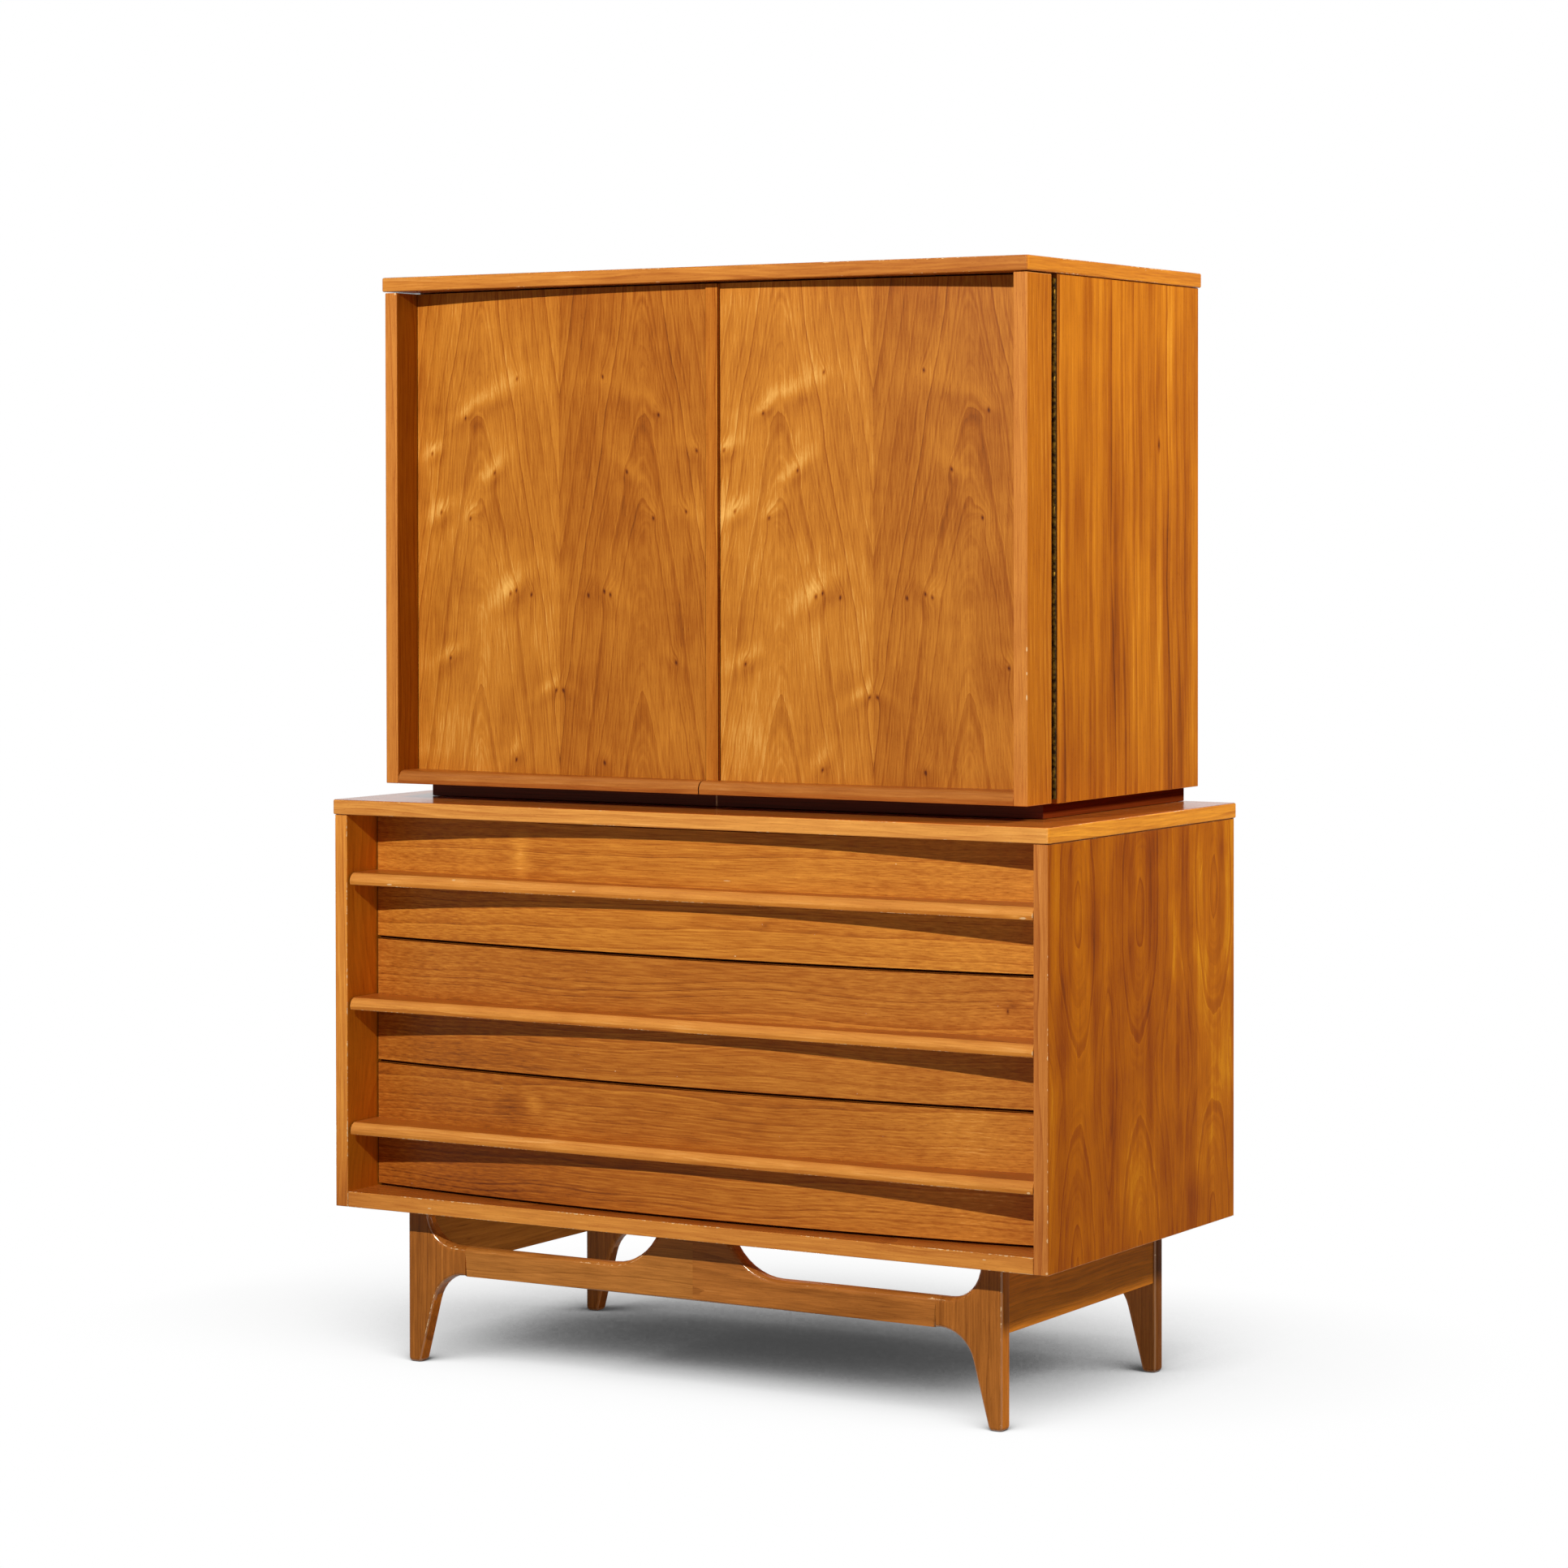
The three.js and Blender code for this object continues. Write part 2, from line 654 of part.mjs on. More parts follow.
function doorPanel(label, xs) {
  const backOf = (x) => doorBow(x) + doorPanelThickness;
  const outline = bowedOutline(xs, doorBowSteps, doorBow, backOf);
  return upright(`${label}_door_panel`, walnutVeneer, outline, [doorBottom, doorTop]);
}

function makeDoors() {
  const panelEnd = doorOpeningHalf - seam;
  const meetingX = meetingStripLeft - doorMeetingGap;
  const lipNose = doorFront + doorLipSetback;
  const stripRight = meetingStripLeft + meetingStripWidth;
  const stripFront = doorBow(stripRight) - meetingStripProud;
  const panelLip = (x) => doorBow(x) - seam;
  const rightLipBack = (x) => (x > stripRight ? panelLip(x) : stripFront - seam);
  const leftPlaces = spread(-panelEnd, meetingX, doorBowSteps);
  const beyondStrip = spread(stripRight + seam, panelEnd, doorBowSteps);
  const rightPlaces = [meetingStripLeft, stripRight, ...beyondStrip];
  const left = group(
    doorStile("left", -1),
    doorPanel("left", [-panelEnd, meetingX]),
    lip("left_door_lip", leftPlaces, lipNose, panelLip, doorBottom, doorLipThickness),
  );
  const right = group(
    doorStile("right", 1),
    doorPanel("right", [stripRight + seam, panelEnd]),
    lip("right_door_lip", rightPlaces, lipNose, rightLipBack, doorBottom, doorLipThickness),
  );
  const stripYs = [stripFront, doorBow(stripRight) + doorPanelThickness];
  const stripXs = [meetingStripLeft, stripRight];
  right.add(board("right_door_meeting_strip", walnutSolid, stripXs, stripYs, [doorBottom, doorTop]));
  return group(left, right);
}

// The piano hinges. One leaf about its pin axis is a strip clear of the other leaf's knuckles, and its own
// knuckles on tabs. The leaf on the case holds the pin, and the one on the door is bored for it.
function hingeLeaf(facing, first, holdsPin) {
  const length = 2 * knucklePairs * knucklePitch;
  const reach = knuckleRadius + hingeLeafRelief;
  const ys = [facing * (knuckleRadius - hingeLeafThickness), facing * knuckleRadius].sort((a, b) => a - b);
  let leaf = bar([reach, reach + hingeLeafWidth], ys, [0, length]);
  for (let i = first; i < 2 * knucklePairs; i += 2) {
    const zs = [i * knucklePitch + knuckleEndGap, (i + 1) * knucklePitch - knuckleEndGap];
    leaf = leaf.add(rod(knuckleRadius, zs)).add(bar([0, reach + hingeLeafRelief], ys, zs));
  }
  return holdsPin
    ? leaf.add(rod(hingePinRadius, [0, length]))
    : leaf.subtract(rod(hingeBoreRadius, [-knucklePitch, length + knucklePitch]));
}

function makeHinges() {
  const middle = (doorBottom + doorTop) / 2;
  const footZ = middle - knucklePairs * knucklePitch;
  const leaves = [
    { part: "case", solid: hingeLeaf(1, 0, true) },
    { part: "door", solid: hingeLeaf(-1, 1, false) },
  ];
  const hinges = new THREE.Group();
  sides.forEach(({ label, sign }) => {
    leaves.forEach(({ part, solid }) => {
      const turned = sign > 0 ? solid.mirror([1, 0, 0]) : solid;
      const name = `${label}_hinge_${part}_leaf`;
      const geometry = geometryOfSolid(turned);
      hinges.add(piece(name, hingeBrass, geometry, sign * hingeAxisX, hingeAxisY, footZ));
    });
  });
  return hinges;
}

const drawerLabels = ["bottom", "middle", "top"];
const highboy = group(makeBase(), makeChest(), makePlinth(), makeCupboard(), makeDoors(), makeHinges());
drawerLabels.forEach((label, index) => highboy.add(makeDrawer(label, index)));

export default highboy;
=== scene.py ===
# %% [markdown]
# # A walnut highboy
# A wide chest of three bow-fronted drawers stands on a scooped leg frame, and a cupboard with two
# bowed doors stands on the chest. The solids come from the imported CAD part, so this file gives
# them what a solid lacks: eased corners, figured veneer, solid edge strips, wear and brass.

# %% Load the part
import json
from math import asin, cos, pi, radians, sin

import bmesh
import bpy
from mathutils import Matrix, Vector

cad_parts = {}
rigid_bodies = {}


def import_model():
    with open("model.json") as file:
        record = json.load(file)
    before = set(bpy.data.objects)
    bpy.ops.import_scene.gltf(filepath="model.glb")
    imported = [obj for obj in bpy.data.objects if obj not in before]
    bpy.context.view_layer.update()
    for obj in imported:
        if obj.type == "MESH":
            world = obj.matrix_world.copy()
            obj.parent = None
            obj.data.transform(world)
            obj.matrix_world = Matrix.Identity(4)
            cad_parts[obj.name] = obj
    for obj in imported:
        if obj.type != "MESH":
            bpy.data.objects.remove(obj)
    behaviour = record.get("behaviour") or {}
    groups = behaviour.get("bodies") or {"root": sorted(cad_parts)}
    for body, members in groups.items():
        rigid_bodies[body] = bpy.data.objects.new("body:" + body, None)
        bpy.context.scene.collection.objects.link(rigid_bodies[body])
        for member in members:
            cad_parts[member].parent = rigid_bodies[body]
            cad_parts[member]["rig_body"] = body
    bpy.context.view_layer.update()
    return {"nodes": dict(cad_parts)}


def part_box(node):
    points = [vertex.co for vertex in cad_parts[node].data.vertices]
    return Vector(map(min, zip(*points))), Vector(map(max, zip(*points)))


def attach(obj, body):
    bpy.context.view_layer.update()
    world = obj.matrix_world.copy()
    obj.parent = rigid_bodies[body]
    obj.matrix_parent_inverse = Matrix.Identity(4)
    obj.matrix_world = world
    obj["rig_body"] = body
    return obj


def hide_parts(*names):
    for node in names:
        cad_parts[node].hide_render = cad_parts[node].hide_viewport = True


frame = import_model()

# %% [markdown]
# The camera stands to the right of the piece, a good five metres away, so a long lens is needed.
# Its verticals are nearly parallel, which a view camera gets by shifting the film instead of tilting the
# lens, and the same shift is set here.

# %% Camera
CAMERA_PLACE = (2.78248, -4.64607, 1.06386)
CAMERA_TURN, CAMERA_DIP, CAMERA_ROLL = 0.53882, 0.0179, -0.00126
LENS_MM, FILM_MM, SHIFT = 99.452, 36.0, -0.1201

camera_data = bpy.data.cameras.new("camera")
camera_data.sensor_width = FILM_MM
camera_data.lens = LENS_MM
camera_data.shift_y = SHIFT
camera = bpy.data.objects.new("camera", camera_data)
bpy.context.scene.collection.objects.link(camera)
camera.matrix_world = (
    Matrix.Translation(CAMERA_PLACE)
    @ Matrix.Rotation(CAMERA_TURN, 4, "Z")
    @ Matrix.Rotation(pi / 2 - CAMERA_DIP, 4, "X")
    @ Matrix.Rotation(CAMERA_ROLL, 4, "Z")
)
bpy.context.scene.camera = camera
print("camera:", camera_data.lens, "mm lens, shift", camera_data.shift_y)

# %% [markdown]
# Materials are graphs of nodes. One small helper adds a node with its settings and whatever feeds
# it, and hands back the output that the next node needs. Another turns a colour picked as sRGB hex,
# as on a paint card, into the linear values that light adds up in.


# %% Colour and node helpers
def linear(hex_colour):
    shares = [int(hex_colour[i : i + 2], 16) / 255 for i in (1, 3, 5)]
    return [s / 12.92 if s <= 0.04045 else ((s + 0.055) / 1.055) ** 2.4 for s in shares] + [1.0]


def add_node(tree, kind, *feeds, inputs=None, out=0, **settings):
    """Adds a node and gives back its output `out`. `feeds` go to its inputs in their order and
    `inputs` to those named: each is a number, a colour or the output of another node."""
    node = tree.nodes.new("ShaderNode" + kind)
    for name, value in settings.items():
        setattr(node, name, value)
    for socket, feed in {**dict(enumerate(feeds)), **(inputs or {})}.items():
        if isinstance(feed, bpy.types.NodeSocket):
            tree.links.new(feed, node.inputs[socket])
        else:
            node.inputs[socket].default_value = feed
    return node.outputs[out] if node.outputs else node


UNDER, OVER = 6, 7  # the inputs of a Mix node that take its two colours
PAINT = {"data_type": "RGBA", "out": 2}  # makes a Mix node mix colours
EASE = {"interpolation_type": "SMOOTHSTEP"}  # makes a Map Range node ease in and out
ONE_WAY = {"noise_dimensions": "1D"}  # makes noise change along one number only


def set_stops(colours, stops, lift=(1, 1, 1)):
    """Gives the colour ramp whose output is `colours` a (position, hex colour) for each stop.
    `lift` multiplies their linear red, green and blue, so one palette serves many boards."""
    elements = colours.node.color_ramp.elements
    while len(elements) < len(stops):
        elements.new(1.0)
    for element, (position, colour) in zip(elements, stops):
        element.position = position
        element.color = [c * k for c, k in zip(linear(colour), (*lift, 1))]


def blank_material(name):
    material = bpy.data.materials.new(name)
    material.use_nodes = True
    material.node_tree.nodes.clear()
    return material, material.node_tree


print("linear value of mid walnut:", [round(c, 3) for c in linear("#b06c2a")])

# %% [markdown]
# ## Light
# The shadows under the lips are crisp and fall steeply, so the key is one small lamp high in front
# of the middle. The right-hand side faces away from it and has a lamp of its own, set a little
# behind the front so that it leaves the bowed fronts alone. A white card on the floor throws light
# up between the legs, which a faint lamp stands in for. The world gives the faint rest.

# %% Lamps and world
KEY_PLACE, KEY_WATTS, KEY_RADIUS = (0.0, -3.354, 2.55), 520.0, 0.03
SIDE_PLACE, SIDE_WATTS, SIDE_RADIUS = (3.0, 0.35, 2.6), 400.0, 0.25
CARD_PLACE, CARD_WATTS, CARD_RADIUS = (0.0, 0.0, 0.06), 1.8, 0.05
WORLD_FILL = 0.06


def lamp(name, place, watts, radius):
    data = bpy.data.lights.new(name, "POINT")
    data.energy, data.shadow_soft_size = watts, radius
    made = bpy.data.objects.new(name, data)
    made.location = place
    bpy.context.scene.collection.objects.link(made)


lamp("key_lamp", KEY_PLACE, KEY_WATTS, KEY_RADIUS)
lamp("side_lamp", SIDE_PLACE, SIDE_WATTS, SIDE_RADIUS)
lamp("floor_card", CARD_PLACE, CARD_WATTS, CARD_RADIUS)

world = bpy.data.worlds.new("studio")
bpy.context.scene.world = world
world.use_nodes = True
tree = world.node_tree
tree.nodes.clear()


def seen_directly(tree):
    """1 for rays from the camera, off gloss or through glass, which see the white backdrop."""
    rays = add_node(tree, "LightPath").node.outputs
    either = add_node(tree, "Math", rays["Is Camera Ray"], rays["Is Glossy Ray"], operation="MAXIMUM")
    return add_node(tree, "Math", either, rays["Is Transmission Ray"], operation="MAXIMUM")


fill = add_node(tree, "Background", linear("#ffffff"), WORLD_FILL)
white = add_node(tree, "Background", linear("#ffffff"), 1.0)
backdrop = add_node(tree, "MixShader", seen_directly(tree), fill, white)
add_node(tree, "OutputWorld", backdrop)
bpy.context.scene.view_settings.view_transform = "Standard"

# %% [markdown]
# The floor is white and has only the soft grey pool that the piece makes under itself. Ambient
# occlusion measures how much of the sky a point of the floor can't see, and a ramp turns that into
# grey. Rays that aren't the camera's meet a plain diffuse floor, which lights the underside.

# %% Floor
FLOOR_SIZE, POOL_REACH, POOL_RAYS = 30.0, 0.60, 40
POOL_LEAN = (0.9, -1.8, 1.0)
POOL_GREYS = [
    (0.46, "#454545"),
    (0.50, "#4e4e4e"),
    (0.535, "#656565"),
    (0.565, "#828282"),
    (0.60, "#a8a8a8"),
    (0.64, "#bdbdbd"),
    (0.69, "#cfcfcf"),
    (0.755, "#e8e8e8"),
    (0.84, "#f8f8f8"),
    (0.96, "#ffffff"),
]

floor_shape = bmesh.new()
bmesh.ops.create_grid(floor_shape, x_segments=1, y_segments=1, size=FLOOR_SIZE / 2)
floor_mesh = bpy.data.meshes.new("floor")
floor_shape.to_mesh(floor_mesh)
floor_shape.free()
floor = bpy.data.objects.new("floor", floor_mesh)
bpy.context.scene.collection.objects.link(floor)

# Matt white studio paper: to the eye it is one with the backdrop, apart from the grey pool.
floor_material, tree = blank_material("studio_floor")
lean = add_node(tree, "CombineXYZ", *POOL_LEAN)
lean = add_node(tree, "VectorMath", lean, operation="NORMALIZE")
sky = {"Distance": POOL_REACH, "Normal": lean}
open_sky = add_node(tree, "AmbientOcclusion", inputs=sky, samples=POOL_RAYS, out="AO")
pool = add_node(tree, "ValToRGB", open_sky)
set_stops(pool, POOL_GREYS)
shown = add_node(tree, "Emission", pool, 1.0)
bounce = add_node(tree, "BsdfDiffuse", linear("#8c8c8c"))
both = add_node(tree, "MixShader", seen_directly(tree), bounce, shown)
add_node(tree, "OutputMaterial", both)
floor_mesh.materials.append(floor_material)
print("floor:", FLOOR_SIZE, "m across, pool reach", POOL_REACH, "m")

# %% [markdown]
# ## Walnut
# Flat-cut walnut shows the trunk's growth rings as nested arches, because the knife passes the
# heart of the trunk at a small angle. So the figure is made as it grows: one number, the ring
# field, says how far out in the trunk each point of the board lies. Where a board is cut along the
# trunk's taper the field is a cone's, and its rings come out as pointed arches. Where the cut
# passes the heart itself, at some levels, they close to eyes. Everything is in metres, and `grain`
# names the axis along which the tree grew.

# %% Patterns that figure is made of
FIBRE, PORE, CHIP = 0.0016, 0.0010, 0.0025
WHOLE = 9.0  # wider than any board, so the pattern stays the same all across it


def centred(tree, share, value, total):
    """Adds to `total` a pattern of mean 0.5 as a swing of `share` up and down."""
    swing = add_node(tree, "Math", value, 0.5, operation="SUBTRACT")
    return add_node(tree, "Math", swing, 2 * share, total, operation="MULTIPLY_ADD")


def mottle(tree, place, sizes, detail=3.0, shift=0.0):
    """Random blotches about `sizes` metres wide along the three axes of `place`. `shift` picks
    another stretch of the pattern, so that no two of them agree."""
    moved = (shift, shift * 1.7, shift * 2.3)
    feeds = {"Vector": place, "Scale": [1 / s for s in sizes], "Location": moved}
    scaled = add_node(tree, "Mapping", inputs=feeds)
    return add_node(tree, "TexNoise", inputs={"Vector": scaled, "Scale": 1.0, "Detail": detail})


def blob(tree, place, centre, sizes, turn=0.0):
    """1 at `centre`, easing to 0 at `sizes` away from it, turned in the board's plane."""
    feeds = {"Vector": place, "Location": centre, "Rotation": (0, turn, 0), "Scale": sizes}
    unit = add_node(tree, "Mapping", inputs=feeds, vector_type="TEXTURE")
    return add_node(tree, "TexGradient", unit, gradient_type="QUADRATIC_SPHERE", out="Fac")


def nearest(tree, places, merge=0.0):
    """How far off the nearest place is, from (coordinate, position) pairs. `merge` is the width
    over which two neighbours run into each other."""
    operation = "SMOOTH_MIN" if merge else "MINIMUM"
    least = None
    for coordinate, position in places:
        away = add_node(tree, "Math", coordinate, position, operation="SUBTRACT")
        away = add_node(tree, "Math", away, operation="ABSOLUTE")
        least = away if least is None else add_node(tree, "Math", least, away, merge, operation=operation)
    return least


print("a fibre is", FIBRE * 1000, "mm wide, a pore", PORE * 1000, "mm")

# %% [markdown]
# A ring is pale where it begins in spring and darkens towards autumn, then stops at a thin dark
# line, so across a board the tone climbs slowly and drops at once, like the teeth of a saw. No two
# years are alike: noise along the ring field makes the teeth uneven in width and in strength.

# %% Growth rings
HEART_MERGE, EYE_MERGE, HEART_WANDER = 0.045, 0.16, 0.012
LATE_WOOD, LATE_DROP = (0.80, 0.96), -0.45


def ring_field(tree, board, u, w, hearts, levels, tilt, point, sway, ripple, seed):
    """How far out in the trunk each point of the board lies, in metres."""
    off = nearest(tree, [(u, heart) for heart in hearts], HEART_MERGE)
    wander = mottle(tree, board, (WHOLE, WHOLE, 0.24), 1.0, seed + 7)
    off = centred(tree, HEART_WANDER, wander, off)
    if levels:
        rise = nearest(tree, [(w, level) for level in levels], EYE_MERGE)
        rise = add_node(tree, "Math", rise, tilt, operation="MULTIPLY")
        squares = []
        for side in (off, rise):
            side = add_node(tree, "Math", side, operation="ABSOLUTE")
            squares.append(add_node(tree, "Math", side, 2.0, operation="POWER"))
        field = add_node(tree, "Math", *squares, operation="ADD")
        field = add_node(tree, "Math", field, operation="SQRT")
    else:
        field = add_node(tree, "Math", off, off, operation="MULTIPLY")
        field = add_node(tree, "Math", field, point * point, operation="ADD")
        field = add_node(tree, "Math", field, operation="SQRT")
        field = add_node(tree, "Math", w, tilt, field, operation="MULTIPLY_ADD")
    field = centred(tree, sway, mottle(tree, board, (0.09, 0.09, 0.30), 2.0, seed), field)
    return centred(tree, ripple, mottle(tree, board, (0.014, 0.014, 0.040), 3.0, seed + 5), field)


def year_rings(tree, field, ring, seed):
    """Tone of the rings, from -0.5 for the dark end of a year to 0.5 for its pale beginning."""
    years = add_node(tree, "Math", field, 1 / ring, seed, operation="MULTIPLY_ADD")
    widths = {"W": field, "Scale": 1 / (3.5 * ring), "Detail": 1.0}
    widths = add_node(tree, "TexNoise", inputs=widths, **ONE_WAY)
    years = centred(tree, 1.1, widths, years)
    share = add_node(tree, "Math", years, operation="FRACT")
    tooth = add_node(tree, "Math", 0.5, share, operation="SUBTRACT")
    late = add_node(tree, "MapRange", share, *LATE_WOOD, **EASE)
    late = add_node(tree, "Math", late, LATE_DROP, operation="MULTIPLY")
    strength = {"W": field, "Scale": 1 / (1.7 * ring), "Detail": 1.0}
    strength = add_node(tree, "TexNoise", inputs=strength, **ONE_WAY)
    strength = add_node(tree, "MapRange", strength, 0.30, 0.70, 0.15, 1.0, **EASE)
    tooth = add_node(tree, "Math", tooth, late, operation="ADD")
    return add_node(tree, "Math", tooth, strength, operation="MULTIPLY")


print("late wood begins at", LATE_WOOD[0], "of a year's width")

# %% [markdown]
# Beside a knot the fibres dive and rise again: one slope catches the light and the next one loses
# it, and the knot's own eye is nearly black. Where a board was knocked, the brown film and the
# darkened wood under it are gone, and raw pale wood shows in ragged nicks.

# %% Curly fibres and nicks
RAW_WOOD = "#e6c08c"
EYE_SIZE, EYE_DEPTH = (0.0034, 1.0, 0.0060), -0.85
NICK_REACH = 0.0022


def curly_fibres(tree, board, value, low_side, knots, flares, seed):
    """Flares beside the knots. On the mirror leaf, whose slopes lean the other way, both the
    light and the dark slope are fainter."""
    facing = add_node(tree, "Math", low_side, 0.48, 0.36, operation="MULTIPLY_ADD")
    ruffle = mottle(tree, board, (0.006, 0.006, 0.006), 2.0, seed + 11)
    for at_u, at_w, length, width, turn, strength in flares:
        lean = radians(turn)
        fall_u, fall_w = -0.75 * width * sin(lean), -0.75 * width * cos(lean)
        glow = blob(tree, board, (at_u, 0.0, at_w), (length, 1.0, width), lean)
        shade_at = (at_u + fall_u, 0.0, at_w + fall_w)
        shade = blob(tree, board, shade_at, (0.8 * length, 1.0, width), lean)
        wave = add_node(tree, "Math", shade, -0.55, glow, operation="MULTIPLY_ADD")
        ruffled = add_node(tree, "Math", ruffle, 0.8, 0.6, operation="MULTIPLY_ADD")
        wave = add_node(tree, "Math", wave, ruffled, operation="MULTIPLY")
        wave = add_node(tree, "Math", wave, facing, operation="MULTIPLY")
        value = add_node(tree, "Math", wave, 0.36 * strength, value, operation="MULTIPLY_ADD")
    for at_u, at_w in knots:
        eye = blob(tree, board, (at_u, 0.0, at_w), EYE_SIZE, radians(-12))
        value = add_node(tree, "Math", eye, EYE_DEPTH, value, operation="MULTIPLY_ADD")
    return value


def nicked(tree, place, axes, colour, worn_at, wear, seed):
    """Nicks gather where a board ends: near any of the given planes, and more in some regions."""
    edge = nearest(tree, [(axes[axis], position) for axis, position in worn_at])
    knocked = add_node(tree, "MapRange", edge, 0.0, NICK_REACH, 0.22, 0.0, **EASE)
    for size, detail, shift, share in ((0.07, 1.0, 8, 0.5), (0.0045, 3.0, 6, 0.62)):
        rough = mottle(tree, place, [size] * 3, detail, seed + shift)
        knocked = add_node(tree, "Math", rough, share, knocked, operation="MULTIPLY_ADD")
    bare = add_node(tree, "MapRange", knocked, wear, wear + 0.03, **EASE)
    colours = {UNDER: colour, OVER: linear(RAW_WOOD)}
    return add_node(tree, "Mix", bare, inputs=colours, **PAINT)


print("raw wood shows as", RAW_WOOD, "where the film is gone")

# %% [markdown]
# Lacquer on wood is a thin clear film. It hides little, so the base colour carries the look, and
# its gloss is low and warm on the cases, whose film has sunk into the grain. Everything that makes
# the wood lighter or darker is one sum, read off a ramp of colours: rings, fine lines, streaks,
# clouds and fibres. Each board then differs by a few numbers only.

# %% Walnut material
WALNUT = ["#5a2609", "#9d5414", "#c67c28", "#f0b45c"]
SOLID = ["#7a3c12", "#ac6424", "#cf8838", "#edb468"]
BASE = ["#572c10", "#80501f", "#a36c33", "#c8945a"]
PALETTE_STOPS = (0.0, 0.33, 0.66, 1.0)
CLOUD_SIZE = (0.05, 0.05, 0.085)
FIBRE_SIZE = (FIBRE, FIBRE, 0.040)
PORE_SIZE = (PORE, PORE, 0.006)
STREAK_SIZE = (0.0065, 0.0065, 0.40)
BROAD_SIZE = (0.028, 0.028, 0.42)
CURL_SIZE = (0.20, 0.20, 0.026)
SWELL_SIZE, SWELL = (0.018, 1.0, 0.034), -0.009
LINT_SIZE, LINT = 0.0028, "#d8c4b4"
RELIEF = 0.0004


def walnut(
    name,
    colours=WALNUT,
    grain="Z",
    across="X",
    seam=None,
    hearts=(-0.9,),
    levels=(),
    tilt=0.02,
    point=0.012,
    sway=0.008,
    ripple=0.0011,
    ring=0.016,
    ring_depth=0.16,
    line=0.0045,
    line_depth=0.14,
    streak=0.10,
    broad=0.0,
    cloud=0.11,
    curl=0.0,
    fibre=0.24,
    tone=0.5,
    left_tone=0.0,
    right_calm=0.0,
    knots=(),
    flares=(),
    patches=(),
    marks=(),
    seed=0.0,
    gloss=0.10,
    roughness=0.42,
    tint="#ffffff",
    lift=(1.0, 1.0, 1.0),
    worn_at=(),
    wear=0.80,
    dust=0.0,
):
    """Lacquered walnut. `hearts` are the places across the board round which the rings nest, and
    `levels` the heights at which they close to eyes. `tilt` is the trunk's taper, `point` rounds
    the arches, `sway` and `ripple` bend the rings. `ring` and `line` are widths, and each of
    `ring_depth`, `line_depth`, `streak`, `broad`, `cloud`, `curl` and `fibre` is how far that
    pattern moves the tone. `seam` mirrors the figure, as veneer leaves opened like a book do.
    `left_tone` lightens the leaf on the low side of the seam, and `right_calm` softens the
    figure of the other, whose fibres lean away from the light.
    A knot is (across, along). A flare is (across, along, length, width, turn in degrees, strength),
    a patch (across, along, width, length, turn, strength), and a mark (x, y, z, three sizes).
    `lift` gives each board its own tone, and on lit and shaded copies of one wood it paints light on some
    and shade on others. `worn_at` lists the planes (axis, position) where its edges are nicked, a lower
    `wear` means more nicks, and `dust` is the share of pale specks."""
    material, tree = blank_material(name)
    place = add_node(tree, "TexCoord", out="Object")
    axes = add_node(tree, "SeparateXYZ", place).node.outputs
    depth = ({"X", "Y", "Z"} - {grain, across}).pop()
    u, w = axes[across], axes[grain]
    low_side = None
    if seam is not None:
        side = add_node(tree, "Math", u, seam, operation="SUBTRACT")
        low_side = add_node(tree, "Math", side, 0.0, operation="LESS_THAN")
        u = add_node(tree, "Math", side, operation="ABSOLUTE")
    board = add_node(tree, "CombineXYZ", u, axes[depth], w)
    field = ring_field(tree, board, u, w, hearts, levels, tilt, point, sway, ripple, seed)
    for at_u, at_w in knots:
        swell = blob(tree, board, (at_u, 0.0, at_w), SWELL_SIZE, radians(20))
        field = add_node(tree, "Math", swell, SWELL, field, operation="MULTIPLY_ADD")

    # The sum of tones.
    clouds = mottle(tree, board, CLOUD_SIZE, 3.0, seed + 4)
    fibres = mottle(tree, board, FIBRE_SIZE, 3.0, seed + 1)
    streaks = mottle(tree, board, STREAK_SIZE, 4.0, seed + 3)
    rings = year_rings(tree, field, ring, seed)
    value = add_node(tree, "Math", rings, 2 * ring_depth, tone, operation="MULTIPLY_ADD")
    lines = {"W": field, "Scale": 1 / line, "Detail": 2.0}
    lines = add_node(tree, "TexNoise", inputs=lines, **ONE_WAY)
    parts = [(line_depth, lines), (streak, streaks), (cloud, clouds), (fibre, fibres)]
    if broad:
        parts.append((broad, mottle(tree, board, BROAD_SIZE, 3.0, seed + 12)))
    if curl:
        parts.append((curl, mottle(tree, board, CURL_SIZE, 2.0, seed + 13)))
    for share, part in parts:
        value = centred(tree, share, part, value)
    dash = mottle(tree, board, PORE_SIZE, 1.0, seed + 2)
    dash = add_node(tree, "Math", dash, 0.66, operation="GREATER_THAN")
    value = add_node(tree, "Math", dash, -0.08, value, operation="MULTIPLY_ADD")
    if low_side is not None:
        swing = add_node(tree, "Math", value, tone, operation="SUBTRACT")
        calm = add_node(tree, "Math", low_side, right_calm, 1 - right_calm, operation="MULTIPLY_ADD")
        leaf_tone = add_node(tree, "Math", low_side, left_tone, tone, operation="MULTIPLY_ADD")
        value = add_node(tree, "Math", swing, calm, leaf_tone, operation="MULTIPLY_ADD")
    if flares:
        value = curly_fibres(tree, board, value, low_side, knots, flares, seed)
    for at_u, at_w, size_u, size_w, turn, strength in patches:
        spot = blob(tree, board, (at_u, 0.0, at_w), (size_u, WHOLE, size_w), radians(turn))
        cloudy = add_node(tree, "Math", clouds, 1.0, 0.5, operation="MULTIPLY_ADD")
        spot = add_node(tree, "Math", spot, cloudy, operation="MULTIPLY")
        value = add_node(tree, "Math", spot, strength, value, operation="MULTIPLY_ADD")

